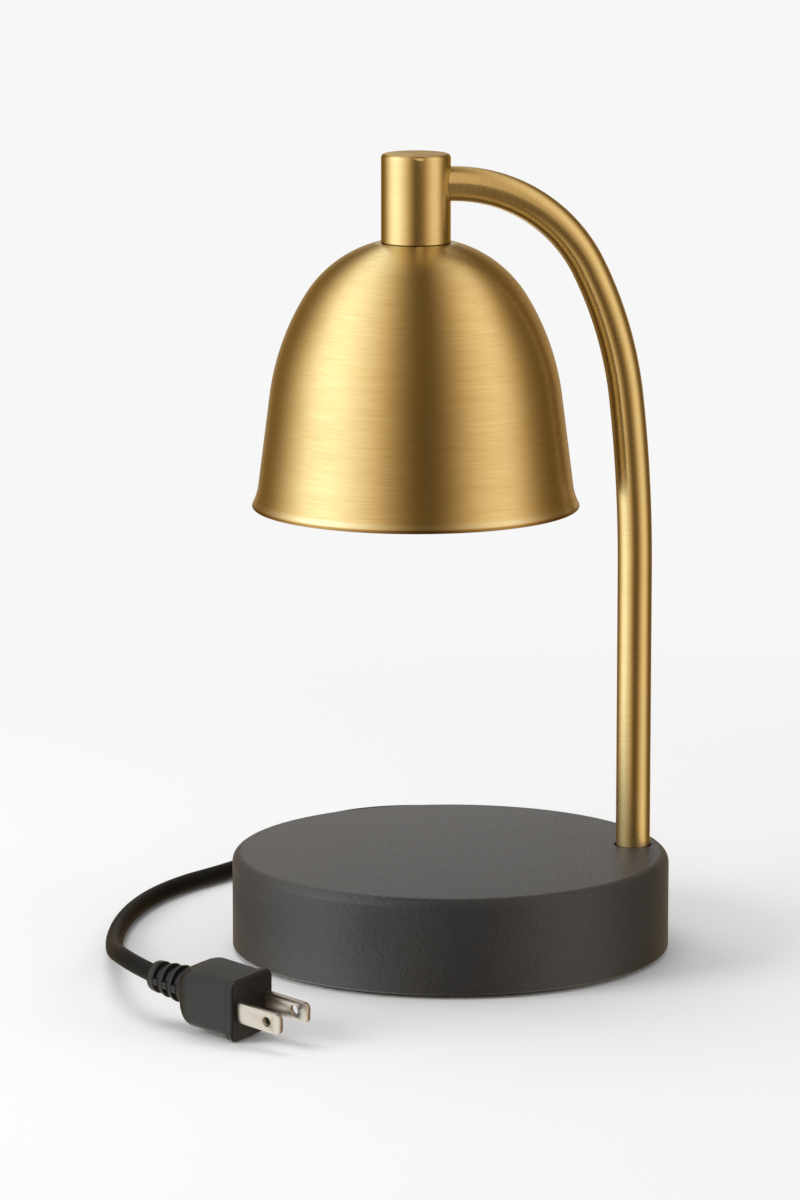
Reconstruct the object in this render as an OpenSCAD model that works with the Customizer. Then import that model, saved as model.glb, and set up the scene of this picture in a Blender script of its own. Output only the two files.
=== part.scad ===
// Candle warmer lamp: a round weighted base, a bent brass tube and a spun bell
// shade that holds a reflector lamp over the base. Millimetres, +Z up, origin at
// the middle of the base on the table, the tube's plane is XZ.

/* [Base] */
// Outer diameter of the base
base_d = 140; // [120:1:170]
// Height of the base above the table
base_h = 31.5; // [30:0.5:42]
// Wall of the base shell
base_wall = 2; // [1.6:0.1:3]
// Rounding of the upper edge of the base
base_round = 3.2; // [2:0.1:5]
// Rounding inside the upper edge of the base
base_inner_round = 1.5; // [0.8:0.1:2.4]
// Chamfer round the lower edge of the base shell
base_foot_chamfer = 0.6; // [0.3:0.1:1]
// Distance from the table to the lower edge of the shell
pad_lift = 1; // [0.5:0.1:1.6]
// Thickness of the foam foot pad
pad_t = 2; // [1.8:0.1:3]
// Margin of the foot pad inside the shell's mouth
pad_margin = 1.6; // [0.8:0.1:4]
// Thickness of the steel bottom cover
cover_t = 1.2; // [0.8:0.1:2]
// Thickness of the iron weight
weight_t = 12; // [8:0.5:14]
// Distance of the cover screws from the shell's inner wall
boss_inset = 9; // [8:0.5:14]
// Diameter of the screw bosses
boss_d = 8; // [7:0.1:9]

/* [Arm] */
// Outer diameter of the arm tube
arm_d = 11; // [10:0.1:12]
// Wall of the arm tube
arm_wall = 1; // [0.8:0.1:1.3]
// Distance from the tube's axis to the side of the base
post_inset = 10.6; // [10:0.1:18]
// Straight height of the tube above the base
post_straight = 90.2; // [60:0.1:130]
// Radius of the long, slack bend above the post
bend_low_r = 490; // [300:5:600]
// Angle of the slack bend
bend_low_a = 6.5; // [3:0.5:10]
// Radius of the middle bend
bend_mid_r = 126; // [90:1:160]
// Angle of the middle bend
bend_mid_a = 20; // [12:0.5:28]
// Radius of the tight bend at the top
bend_top_r = 49; // [38:0.5:60]
// Straight stub of the tube beside the cup
arm_stub = 0.3; // [0.1:0.1:3]
// Depth of the tube in the weight
arm_seat = 8; // [5:0.5:9]
// Gap round the tube in the top of the base
arm_gap = 0.6; // [0.2:0.05:0.9]

/* [Cup and shade] */
// Diameter of the cup on the shade
cup_d = 22; // [20:0.5:26]
// Height of the cup
cup_h = 28; // [26:0.5:34]
// Height of the tube's axis above the foot of the cup
cup_port_h = 18.4; // [16:0.2:20]
// Rounding of the cup's upper edge
cup_round = 1.2; // [0.6:0.1:2]
// Depth of the tube's seat from the side of the cup
cup_seat = 4; // [2.5:0.1:5]
// Wall of the spun shade
shade_t = 1.2; // [0.8:0.1:1.6]
// Radius of the flat top of the shade
shade_top_r = 12.4; // [12.4:0.1:16]
// Slope of the shade where the crown starts
shade_start_a = 15; // [8:0.5:20]
// Radius of the crown
crown_r = 38.3; // [32:0.1:46]
// Angle of the crown
crown_a = 43.5; // [38:0.5:47]
// Radius of the shoulder
shoulder_r = 80; // [65:0.5:95]
// Angle of the shoulder
shoulder_a = 24.2; // [20:0.1:25]
// Length of the straight skirt
skirt_len = 29; // [24:0.5:34]
// Radius of the flare at the rim
flare_r = 17.5; // [14:0.5:30]
// Angle of the flare at the rim
flare_a = 20.7; // [10:0.1:28]

/* [Lamp holder] */
// Diameter of the threaded nipple
nipple_d = 9.9; // [9:0.1:10]
// Bore of the nipple
nipple_bore = 7; // [5.5:0.1:7.4]
// Thickness of the washer under the shade
washer_t = 1; // [0.8:0.1:1.6]
// Diameter of the washer under the shade
washer_d = 23; // [21:0.5:24]
// Thickness of the strap bracket
strap_t = 1.2; // [1:0.1:1.5]
// Width of the strap bracket
strap_w = 14; // [12:0.5:18]
// Span of the strap bracket
strap_span = 27; // [26.6:0.2:30]
// Height of the strap bracket
strap_h = 13.2; // [12.2:0.2:16]
// Diameter of the ceramic lamp holder
holder_d = 26; // [25.4:0.2:28]
// Height of the lamp holder
holder_h = 17; // [15.5:0.5:20]
// Thickness of the holder's slotted face
holder_face_t = 2.2; // [1.8:0.1:2.6]
// Distance between the holder's screws
holder_screw_span = 19; // [18.6:0.2:20]
// Turn that unlocks the lamp
twist_a = 25; // [20:1:28]

/* [Lamp] */
// Diameter of the reflector lamp
bulb_d = 50; // [48:0.5:51]
// Length of the lamp without its pins
bulb_len = 46; // [43:0.5:48]
// Distance between the lamp's pins
pin_span = 10; // [10:0.1:10.4]
// Diameter of a pin's stem
pin_d = 3; // [2.8:0.1:3.1]
// Diameter of a pin's head
pin_head_d = 5; // [4.6:0.1:5.1]
// Length of a pin's head
pin_head_h = 2.4; // [2:0.1:2.6]
// Wall of the glass reflector
glass_t = 1.3; // [1:0.1:1.6]
// Depth of the ceramic lamp base
bulb_base_h = 16; // [14:0.5:17]

/* [Dimmer] */
// Direction of the knob round the base
knob_az = 36; // [34:1:36]
// Height of the knob's axis
knob_z = 15.5; // [14.5:0.5:16]
// Diameter of the knob
knob_d = 15; // [14:0.5:16]
// Length of the knob
knob_len = 8.8; // [8:0.2:10]
// Diameter of the spindle
spindle_d = 6; // [5.6:0.1:6.2]
// Width and height of the dimmer body
pot_w = 16; // [14:0.5:16]
// Depth of the dimmer body
pot_len = 9.2; // [8:0.2:10]
// Diameter of the dimmer's threaded bushing
bushing_d = 7; // [6.8:0.1:7.4]

/* [Mains lead] */
// Diameter of the mains lead
cord_d = 5.6; // [5:0.1:6]
// Direction of the lead's outlet round the base
cord_az = 60; // [60:1:62]
// Height of the lead's outlet
cord_z = 10; // [9.4:0.1:11]
// Length of the strain relief outside the base
relief_len = 20; // [20:0.5:22]
// Width of the plug
plug_w = 18.5; // [17:0.5:20]
// Height of the plug
plug_h = 19.5; // [18:0.5:20.5]
// Length of the plug's body
plug_body_len = 26; // [24:0.5:28]
// Length of the ribbed tail of the plug
plug_tail_len = 13; // [11:0.5:15]
// Length of a blade outside the plug
blade_len = 17; // [16:0.5:18]
// Width of a blade
blade_w = 6.35; // [6.2:0.05:6.5]
// Thickness of a blade
blade_t = 1.5; // [1.4:0.05:1.65]
// Distance between the blades
blade_span = 12.7; // [12.5:0.1:12.9]

/* [Hidden] */
$fn = 48;

// Finishes
BRASS = [0.79, 0.62, 0.33];
CHARCOAL = [0.25, 0.25, 0.25];
STEEL = [0.66, 0.67, 0.68];
IRON = [0.3, 0.3, 0.31];
CERAMIC = [0.92, 0.9, 0.86];
RUBBER = [0.1, 0.1, 0.1];

// Clearances
fit_gap = 0.05;    // a turned piece in its own hole
turn_gap = 0.3;    // between pieces that turn past each other
seat_gap = 0.2;    // a dropped-in piece in its recess
screw_gap = 0.05;  // a screw's shank in its pilot hole
eps = 0.01;

// Levels and radii in the base
base_r = base_d / 2;
in_r = base_r - base_wall;
top_in = base_h - base_wall;
cover_z = pad_t;
boss_z = cover_z + cover_t;
boss_r = in_r - boss_inset;
weight_r = in_r - base_inner_round - seat_gap;
weight_z = top_in - weight_t;
screw_d = 2.6;
screw_len = 12;
screw_head_d = 5.2;
screw_head_h = 1.4;

// Arm
post_x = base_r - post_inset;
arm_r = arm_d / 2;
arm_bore_r = arm_r - arm_wall;
arm_z0 = top_in - arm_seat;
arm_z1 = base_h + post_straight;
bend_top_a = 90 - bend_low_a - bend_mid_a;
bend_lap = 0.5;
bend_swell = 0.05;
bends = [
    [bend_low_r, bend_low_a],
    [bend_mid_r, bend_mid_a],
    [bend_top_r, bend_top_a]
];
stud_r = arm_bore_r - fit_gap;
stud_bore_r = 3;
stud_up = 12;
stud_down = 1.5;
arm_washer_t = 1.5;
arm_washer_r = 8.5;
arm_nut_af = 14;
arm_nut_h = 5;
stud_z = weight_z - arm_washer_t - arm_nut_h - stud_down;
wire_r = 0.9;
wire_apart = 2.6;
wire_out = 1;
wire_turn_r = 4;

// Places along the bent arm: [x, z] after the first n bends, and the heading
function turned(n) = n == 0 ? 0 : turned(n - 1) + bends[n - 1][1];
function bend_x(n) = n == 0 ? post_x
    : bend_x(n - 1) - bends[n - 1][0] * (cos(turned(n - 1)) - cos(turned(n)));
function bend_z(n) = n == 0 ? arm_z1
    : bend_z(n - 1) + bends[n - 1][0] * (sin(turned(n)) - sin(turned(n - 1)));
arm_top_x = bend_x(3);
arm_top_z = bend_z(3);

// Cup and shade
cup_r = cup_d / 2;
shade_x = arm_top_x - arm_stub - cup_r;
cup_z = arm_top_z - cup_port_h;
cup_thread_h = 12;
cup_bore_r = 4.5;
cup_roof = 4;
arm_end_x = shade_x + cup_r - cup_seat;

// Lamp holder, from the shade downwards
shade_in_z = cup_z - shade_t;
strap_z = shade_in_z - washer_t;
shade_nut_h = 4;
shade_nut_af = 14;
shade_nut_z = strap_z - strap_t - shade_nut_h;
nipple_r = nipple_d / 2;
nipple_z = shade_nut_z - 1;
holder_z1 = strap_z - strap_h;
holder_z0 = holder_z1 - holder_h;
holder_screw_d = 2.4;
holder_screw_len = 7;
holder_head_d = 4.2;
holder_head_h = 1.6;
holder_chamfer = 1.5;
edge_chamfer = 0.6;
head_room = 2.6;
chamber_z = holder_z0 + holder_face_t;
chamber_h = turn_gap + pin_head_h + head_room;
wire_hole_r = 1.3;
bulb_z1 = holder_z0 - turn_gap;
bulb_base_z = bulb_z1 - bulb_base_h;
bulb_front_z = bulb_z1 - bulb_len;
bulb_r = bulb_d / 2;
bulb_neck_r = 9.5;
bulb_collar_r = bulb_neck_r + 2.4;
bulb_rim_h = 3;
lens_lip = 1;
pin_root = 4;
capsule_r = 4;
capsule_len = 20;
capsule_root = 5;
lens_t = 2.2;
contact_t = 0.5;
contact_len = 4.4;
contact_w = 3.8;
contact_tail = 7;

// Dimmer, in a frame whose X points outwards at knob_az
pot_x = in_r - 1.8;
spot_x = base_r - 0.5;
spot_r = knob_d / 2 + 1.2;
bushing_r = bushing_d / 2;
knob_nut_af = 10;
knob_nut_h = 1.8;
knob_x = spot_x + 0.9;
knob_wall = 1.3;
knob_cave = 2.8;
bushing_x = spot_x + knob_nut_h + 0.7;
spindle_x = pot_x - 6;
spindle_end = knob_x + knob_len - 2;
knob_flutes = 20;
board_t = 1.6;
board_z = knob_z - pot_w / 2 - board_t;
board_x = pot_x - pot_len - 14;
board_y0 = -14;
board_y1 = pot_w / 2;
part_gap = 1.4;
choke_r = 3.6;
choke_h = 8;
capacitor_w = 5;
capacitor_h = 8.4;
switch_w = 3;
switch_h = 6.6;

// Bay in the weight over the dimmer and the clamp, in a frame midway between them
bay_gap = 2;

// Mains lead inside the base, in a frame whose X points outwards at cord_az
cord_r = cord_d / 2;
relief_flange_r = cord_r + 3.4;
relief_neck_r = cord_r + 1.7;
relief_collar_r = cord_r + 2.6;
relief_root_r = cord_r + 2.1;
relief_tip_r = cord_r + 1;
relief_in_x = in_r - 2.8;
relief_tip_x = base_r + relief_len;
clamp_w = 10;
clamp_x = relief_in_x - 5 - clamp_w;
clamp_span = 22;
clamp_screw_y = 7.6;
clamp_screw_d = 2.6;
clamp_squeeze = 0.2;
cord_inner_x = clamp_x - 3;
core_r = 0.8;
core_apart = 3;
core_reach = 8;

bay_az = (knob_az + cord_az) / 2;
bay_turn = (cord_az - knob_az) / 2;
bay_side = max(-board_y0, clamp_span / 2);
bay_x = board_x * cos(bay_turn) - bay_side * sin(bay_turn) - bay_gap;
bay_y = in_r * sin(bay_turn) + bay_side * cos(bay_turn) + bay_gap;
boss_az = [for (i = [0 : 2]) bay_az + 55 + 120 * i];

// Plug: its face stands here, nose a little down, as the stiff lead holds it
plug_yaw = -47.4;
plug_pitch = 5;
plug_roll = 5;
plug_round = 2.5;
plug_lip = 0.6;
plug_lip_len = 3;
plug_back_r = 8;
plug_cut = 1;
plug_ribs = 3;
plug_groove = 1.1;
plug_bar_w = 3.4;
plug_bar_drop = 0.25;
plug_root_r = cord_r + 3.2;
plug_tip_r = cord_r + 2;
plug_z = ((plug_h / 2 - plug_round) * cos(plug_roll)
    + (plug_w / 2 - plug_round) * sin(plug_roll) + plug_round) * cos(plug_pitch);
plug_at = [-76.6, -108, plug_z];
plug_dir = [
    cos(plug_yaw) * cos(plug_pitch),
    sin(plug_yaw) * cos(plug_pitch),
    -sin(plug_pitch)
];
plug_end = plug_at - (plug_body_len + plug_tail_len) * plug_dir;
blade_root = 9;
blade_hole_d = 3.2;
blade_hole_x = 11.7;

// Coil of spare lead behind the base: in along the table, out again on top
coil_x = 6;
coil_y = 114.2;
coil_in_az = 37;
coil_turns = 5.2556;
coil_mid_r = 24;
coil_pitch = cord_d + 0.5;
coil_lift = 0.45;
coil_rings = 24;
coil_sides = 6;
coil_z0 = coil_lift + cord_r;
half_turns = coil_turns / 2;
tie_t = 0.4;
tie_w = 8;
tie_az = 200;

// The lead's free stretches: points chosen by hand
exit_mid = [
    [48.6, 84.2, 9.2], [52.2, 90.2, 7], [54.8, 96.6, 4.6], [56.4, 103.4, 3.2],
    [56.6, 110.6, 2.9], [55.2, 117.8, 2.9], [52, 124.6, 3], [47.6, 130.2, 3.2]
];
lead_mid = [
    [-30.2, 136.4, 8], [-38.4, 128.4, 6], [-46.4, 119.6, 4], [-54, 110.4, 2.9],
    [-61.2, 102.2, 2.8], [-68.2, 95.2, 2.8], [-74.8, 88.8, 2.8],
    [-81, 81.4, 2.8], [-86.6, 73.4, 2.8], [-91.6, 64.6, 2.8],
    [-95.8, 55.4, 2.8], [-99.4, 45.6, 2.8], [-102.6, 35, 2.8],
    [-105, 24.4, 2.9], [-106.9, 13.2, 3.4], [-108.3, 1.6, 4.4],
    [-109.4, -10.2, 5.9], [-110.3, -22.2, 7.9], [-110.9, -34.2, 10.1],
    [-111, -46, 12.2], [-110.2, -57.4, 13.7], [-107.8, -68.2, 14.2]
];

// ---- functions ----

function unit(v) = v / norm(v);
function radial(az) = [cos(az), sin(az), 0];

// Points of an arc in a plane, n steps from angle a to angle b
function arc(cx, cy, r, a, b, n) = [
    for (i = [0 : n]) let (t = a + (b - a) * i / n) [cx + r * cos(t), cy + r * sin(t)]
];

// A chain of tangent arcs, from point p with slope h below the horizontal.
// Each piece is [radius, turn]; a turn below zero bends back outwards.
function chain_arc(p, h, r, turn, n) = [
    for (i = [1 : n]) let (k = h + turn * i / n, s = turn > 0 ? r : -r)
        [p[0] + s * (sin(k) - sin(h)), p[1] - s * (cos(h) - cos(k))]
];
function last(v) = v[len(v) - 1];

// Points of a cubic curve from p0 to p3, with control points p1 and p2
function bezier(p0, p1, p2, p3, n) = [
    for (i = [0 : n]) let (t = i / n, u = 1 - t)
        u * u * u * p0 + 3 * u * u * t * p1 + 3 * u * t * t * p2 + t * t * t * p3
];

// Half section of one skin of the shade, d below the outer skin
function shade_skin(d) =
    let (
        h0 = shade_start_a,
        h1 = h0 + crown_a,
        h2 = h1 + shoulder_a,
        p0 = [shade_top_r - d * sin(h0), cup_z - d * cos(h0)],
        crown = chain_arc(p0, h0, crown_r - d, crown_a, 12),
        shoulder = chain_arc(last(crown), h1, shoulder_r - d, shoulder_a, 8),
        p3 = last(shoulder) + skirt_len * [cos(h2), -sin(h2)],
        flare = chain_arc(p3, h2, flare_r + d, -flare_a, 5)
    )
    concat([p0], crown, shoulder, [p3], flare);

// Half section of the shade with its rounded rim
function shade_section() =
    let (
        outer = shade_skin(0),
        inner = shade_skin(shade_t),
        a = last(outer),
        b = last(inner),
        mid = (a + b) / 2,
        dir = atan2(a[1] - b[1], a[0] - b[0]),
        rim = [for (i = [1 : 5]) mid + shade_t / 2 * [cos(dir - 30 * i), sin(dir - 30 * i)]],
        back = [for (i = [len(inner) - 1 : -1 : 0]) inner[i]]
    )
    concat([[0, cup_z]], outer, rim, back, [[0, cup_z - shade_t]]);

// Paraboloid skin of the reflector, d inside the glass, from its rim to its neck
function bowl(d, n) =
    let (
        neck_z = bulb_base_z,
        rim_z = bulb_front_z + bulb_rim_h,
        rim_r = bulb_r - 0.4,
        spread = pow(rim_r, 2) - pow(bulb_neck_r, 2)
    )
    [
        for (i = [0 : n])
            let (z = rim_z + (neck_z - d - rim_z) * i / n, u = (neck_z - z) / (neck_z - rim_z))
                [sqrt(pow(bulb_neck_r, 2) + spread * u) - d, z]
    ];

// Tube swept along points, with its own end directions
function sweep_dir(p, i, t0, t1) =
    i == 0 ? t0 : i == len(p) - 1 ? t1 : unit(p[i + 1] - p[i - 1]);
function sweep_ring(c, t, ref, r, sides) =
    let (s = unit(cross(t, ref)), u = cross(s, t))
    [for (k = [0 : sides - 1]) c + r * (cos(360 * k / sides) * s + sin(360 * k / sides) * u)];

// The same run, moved sideways by s
function beside(p, t0, t1, s) = [
    for (i = [0 : len(p) - 1]) p[i] + s * unit(cross([0, 0, 1], sweep_dir(p, i, t0, t1)))
];

// Middle of the coil's lead, s turns from the turning point
function coil_point(s) =
    let (
        a = coil_in_az + 360 * (s + half_turns),
        r = coil_mid_r + coil_pitch * abs(s),
        z = coil_z0 + coil_pitch * max(0, min(1, 0.5 + 2 * s))
    )
    [coil_x + r * cos(a), coil_y + r * sin(a), z];
function coil_dir(s) = unit(coil_point(s + 0.001) - coil_point(s - 0.001));
coil_steps = round(coil_turns * coil_rings);
coil_in_dir = coil_dir(-half_turns);
coil_out_dir = coil_dir(half_turns);
coil_path = concat(
    [coil_point(-half_turns) - cord_d * coil_in_dir],
    [for (i = [0 : coil_steps]) coil_point(coil_turns * i / coil_steps - half_turns)],
    [coil_point(half_turns) + cord_d * coil_out_dir]
);
coil_gap = min([
    for (i = [0 : len(coil_path) - 2], j = [i + coil_rings / 2 : len(coil_path) - 1])
        norm(coil_path[i] - coil_path[j])
]) - cord_d;
relief_end = relief_tip_x * radial(cord_az) + [0, 0, cord_z];
exit_path = concat([relief_end], exit_mid, [coil_path[0]]);
lead_path = concat([last(coil_path)], lead_mid, [plug_end]);
echo(str("least gap between the coil's turns: ", coil_gap));

// ---- helpers ----

module at_az(az) {
    rotate([0, 0, az]) children();
}

module sweep(p, r, sides, t0, t1, ref = [0, 0, 1]) {
    n = len(p);
    points = [for (i = [0 : n - 1]) each sweep_ring(p[i], sweep_dir(p, i, t0, t1), ref, r, sides)];
    skin = [
        for (i = [0 : n - 2], k = [0 : sides - 1])
            let (a = i * sides + k, b = i * sides + (k + 1) % sides)
                each [[a, b, b + sides], [a, b + sides, a + sides]]
    ];
    start = [for (k = [sides - 1 : -1 : 0]) k];
    end = [for (k = [0 : sides - 1]) (n - 1) * sides + k];
    polyhedron(points = points, faces = concat([start], skin, [end]), convexity = 12);
}

module hex_nut(af, h, bore_r) {
    difference() {
        cylinder(r = af / 2 / cos(30), h = h, $fn = 6);
        translate([0, 0, -1]) cylinder(r = bore_r, h = h + 2);
    }
}

module washer(r, bore_r, t) {
    difference() {
        cylinder(r = r, h = t);
        translate([0, 0, -1]) cylinder(r = bore_r, h = t + 2);
    }
}

module pan_screw(head_d, head_h, d, len) {
    cylinder(d = head_d, h = head_h);
    translate([0, 0, head_h - eps]) cylinder(d = d, h = len + eps);
}

// Rounded rectangle, lower left corner at the origin
module soft_rect(w, h, r) {
    translate([r, 0]) square([w - 2 * r, h]);
    translate([0, r]) square([w, h - 2 * r]);
    for (x = [r, w - r], y = [r, h - r]) translate([x, y]) circle(r = r);
}

// One bend of the arm, solid, lapping into its neighbours by the given lengths
module bend_part(i, r, lap0, lap1) {
    bend_r = bends[i][0];
    cut0 = lap0 / bend_r * 180 / PI;
    cut1 = lap1 / bend_r * 180 / PI;
    translate([bend_x(i) - bend_r * cos(turned(i)), 0, bend_z(i) - bend_r * sin(turned(i))])
        rotate([90, cut0 - turned(i), 0])
            rotate_extrude(angle = bends[i][1] + cut0 + cut1, $fn = 360)
                translate([bend_r, 0]) circle(r = r, $fn = 48);
}

// The arm's whole run as a solid of radius r, longer by more at both ends. The
// middle bend swells a hair and the stub is as much thinner, so that each stretch
// ends inside its neighbour.
module arm_run(r, more) {
    translate([post_x, 0, arm_z0 - more]) cylinder(r = r, h = arm_z1 - arm_z0 + more);
    bend_part(0, r, 0, bend_lap);
    bend_part(1, r + bend_swell, 0, 0);
    bend_part(2, r, bend_lap, 0);
    translate([arm_end_x - more, 0, arm_top_z]) rotate([0, 90, 0])
        cylinder(r = r - bend_swell, h = arm_top_x + bend_lap - arm_end_x + more);
}

// ---- base ----

module shell_solid() {
    rotate_extrude($fn = 96)
        polygon(concat(
            [
                [0, pad_lift],
                [base_r - base_foot_chamfer, pad_lift],
                [base_r, pad_lift + base_foot_chamfer]
            ],
            arc(base_r - base_round, base_h - base_round, base_round, 0, 90, 10),
            [[0, base_h]]
        ));
}

module shell_room() {
    rotate_extrude($fn = 96)
        polygon(concat(
            [[0, pad_lift - 1], [in_r, pad_lift - 1]],
            arc(in_r - base_inner_round, top_in - base_inner_round, base_inner_round, 0, 90, 6),
            [[0, top_in]]
        ));
}

module base_shell() {
    color(CHARCOAL)
    difference() {
        union() {
            difference() {
                shell_solid();
                shell_room();
            }
            for (a = boss_az)
                at_az(a) translate([boss_r, 0, boss_z]) cylinder(d = boss_d, h = top_in - boss_z + eps);
            at_az(knob_az) intersection() {
                rotate([0, 0, -knob_az]) shell_solid();
                translate([pot_x, -pot_w / 2 - 1, knob_z - pot_w / 2])
                    cube([base_wall + 2, pot_w + 2, pot_w]);
            }
            at_az(cord_az) translate([clamp_x, -clamp_span / 2, cord_z + cord_r])
                cube([clamp_w, clamp_span, top_in - cord_z - cord_r + eps]);
        }
        translate([post_x, 0, top_in - 1]) cylinder(r = arm_r + arm_gap, h = base_wall + 2);
        for (a = boss_az)
            at_az(a) translate([boss_r, 0, boss_z - 1])
                cylinder(d = screw_d + 2 * screw_gap, h = screw_len + 2);
        at_az(knob_az) translate([pot_x - 1, 0, knob_z]) rotate([0, 90, 0])
            cylinder(r = bushing_r + 0.15, h = base_wall + 4);
        at_az(knob_az) translate([spot_x, 0, knob_z]) rotate([0, 90, 0]) cylinder(r = spot_r, h = 5);
        at_az(cord_az) translate([in_r - 3, 0, cord_z]) rotate([0, 90, 0])
            cylinder(r = relief_neck_r + fit_gap, h = base_wall + 6);
        at_az(cord_az) for (y = [-clamp_screw_y, clamp_screw_y])
            translate([clamp_x + clamp_w / 2, y, cord_z + cord_r - 1])
                cylinder(d = clamp_screw_d + 2 * screw_gap, h = 10);
    }
}

module base_weight() {
    color(IRON)
    difference() {
        translate([0, 0, weight_z]) cylinder(r = weight_r, h = weight_t, $fn = 96);
        for (a = boss_az)
            at_az(a) translate([boss_r, 0, weight_z - 1])
                cylinder(d = boss_d + 2 * seat_gap, h = weight_t + 2);
        translate([post_x, 0, arm_z0]) cylinder(r = arm_r + fit_gap, h = arm_seat + 1);
        translate([post_x, 0, weight_z - 1]) cylinder(r = stud_r + seat_gap, h = weight_t);
        at_az(bay_az) translate([bay_x, -bay_y, weight_z - 1])
            cube([base_r, 2 * bay_y, weight_t + 2]);
    }
}

module bottom_cover() {
    color(STEEL)
    difference() {
        translate([0, 0, cover_z]) cylinder(r = in_r - seat_gap, h = cover_t, $fn = 96);
        for (a = boss_az)
            at_az(a) translate([boss_r, 0, cover_z - 1]) cylinder(d = screw_d + 0.6, h = cover_t + 2);
    }
}

// The pad is cut out round the screw heads
module foot_pad() {
    color(RUBBER)
    difference() {
        cylinder(r = in_r - pad_margin, h = pad_t, $fn = 96);
        for (a = boss_az)
            at_az(a) translate([boss_r, 0, pad_t - screw_head_h - 0.1])
                cylinder(d = screw_head_d + 0.8, h = screw_head_h + 1);
    }
}

module cover_screws() {
    color(STEEL)
    for (a = boss_az)
        at_az(a) translate([boss_r, 0, cover_z - screw_head_h])
            pan_screw(screw_head_d, screw_head_h, screw_d, screw_len);
}

// ---- arm ----

// Straight post, three tangent bends and the short end in the cup
module arm_tube() {
    color(BRASS)
    difference() {
        arm_run(arm_r, 0);
        arm_run(arm_bore_r, 1);
    }
}

module arm_stud() {
    color(STEEL)
    translate([post_x, 0, stud_z])
        washer(stud_r, stud_bore_r, arm_z0 + stud_up - stud_z);
}

module arm_washer() {
    color(STEEL)
    translate([post_x, 0, weight_z - arm_washer_t])
        washer(arm_washer_r, stud_r + seat_gap, arm_washer_t);
}

module arm_nut() {
    color(STEEL)
    translate([post_x, 0, weight_z - arm_washer_t - arm_nut_h])
        hex_nut(arm_nut_af, arm_nut_h, stud_r + fit_gap);
}

// Two insulated wires from the dimmer up through the arm to the lamp holder
function bend_points(i, n) = [
    for (k = [1 : n]) let (a = turned(i) + bends[i][1] * k / n)
        [
            bend_x(i) - bends[i][0] * (cos(turned(i)) - cos(a)),
            0,
            bend_z(i) + bends[i][0] * (sin(a) - sin(turned(i)))
        ]
];

module arm_wires() {
    run = concat(
        [[post_x, 0, stud_z - wire_out], [post_x, 0, arm_z0], [post_x, 0, arm_z1]],
        bend_points(0, 3), bend_points(1, 4), bend_points(2, 10),
        [
            for (a = [90 : -22.5 : 0])
                [shade_x + wire_turn_r * (1 - cos(a)), 0, arm_top_z - wire_turn_r * (1 - sin(a))]
        ],
        [[shade_x, 0, nipple_z - wire_out]]
    );
    color("white")
    for (s = [-1, 1])
        sweep([for (q = run) q + [0, s * wire_apart / 2, 0]], wire_r, 6, [0, 0, 1], [0, 0, -1], [0, 1, 0]);
}

// ---- cup and shade ----

module socket_cup() {
    color(BRASS)
    difference() {
        translate([shade_x, 0, cup_z])
            rotate_extrude($fn = 64)
                polygon(concat(
                    [[0, 0], [cup_r - 0.3, 0], [cup_r, 0.3]],
                    arc(cup_r - cup_round, cup_h - cup_round, cup_round, 0, 90, 8),
                    [[0, cup_h]]
                ));
        translate([shade_x, 0, cup_z - 1]) cylinder(r = nipple_r + fit_gap, h = cup_thread_h + 1);
        translate([shade_x, 0, cup_z]) cylinder(r = cup_bore_r, h = cup_h - cup_roof);
        translate([shade_x, 0, arm_top_z]) rotate([0, 90, 0]) cylinder(r = arm_bore_r, h = cup_r);
        translate([arm_end_x, 0, arm_top_z]) rotate([0, 90, 0]) cylinder(r = arm_r + fit_gap, h = cup_r);
    }
}

module shade() {
    color(BRASS)
    translate([shade_x, 0, 0])
        difference() {
            rotate_extrude($fn = 96) polygon(shade_section());
            translate([0, 0, cup_z - shade_t - 1]) cylinder(r = nipple_r + 0.15, h = shade_t + 2);
        }
}

// ---- lamp holder ----

module shade_washer() {
    color(STEEL)
    translate([shade_x, 0, strap_z]) washer(washer_d / 2, nipple_r + 0.15, washer_t);
}

module shade_nipple() {
    color(BRASS)
    translate([shade_x, 0, nipple_z]) washer(nipple_r, nipple_bore / 2, cup_z + cup_thread_h - nipple_z);
}

module shade_nut() {
    color(STEEL)
    translate([shade_x, 0, shade_nut_z]) hex_nut(shade_nut_af, shade_nut_h, nipple_r + fit_gap);
}

module holder_strap() {
    half = strap_span / 2;
    foot = half - holder_screw_span / 2 + 3;
    color(STEEL)
    translate([shade_x, -strap_w / 2, 0])
    difference() {
        union() {
            translate([-half, 0, strap_z - strap_t]) cube([strap_span, strap_w, strap_t]);
            for (x = [-half, half - strap_t])
                translate([x, 0, holder_z1]) cube([strap_t, strap_w, strap_h]);
            for (x = [-half, half - foot])
                translate([x, 0, holder_z1]) cube([foot, strap_w, strap_t]);
        }
        translate([0, strap_w / 2, strap_z - strap_t - 1]) cylinder(r = nipple_r + 0.15, h = strap_t + 2);
        for (x = [-1, 1])
            translate([x * holder_screw_span / 2, strap_w / 2, holder_z1 - 1])
                cylinder(d = holder_screw_d + 0.4, h = strap_t + 2);
    }
}

module holder_screws() {
    color(STEEL)
    for (x = [-1, 1])
        translate([shade_x + x * holder_screw_span / 2, 0, holder_z1 + strap_t + holder_head_h])
            rotate([180, 0, 0]) pan_screw(holder_head_d, holder_head_h, holder_screw_d, holder_screw_len);
}

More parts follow.
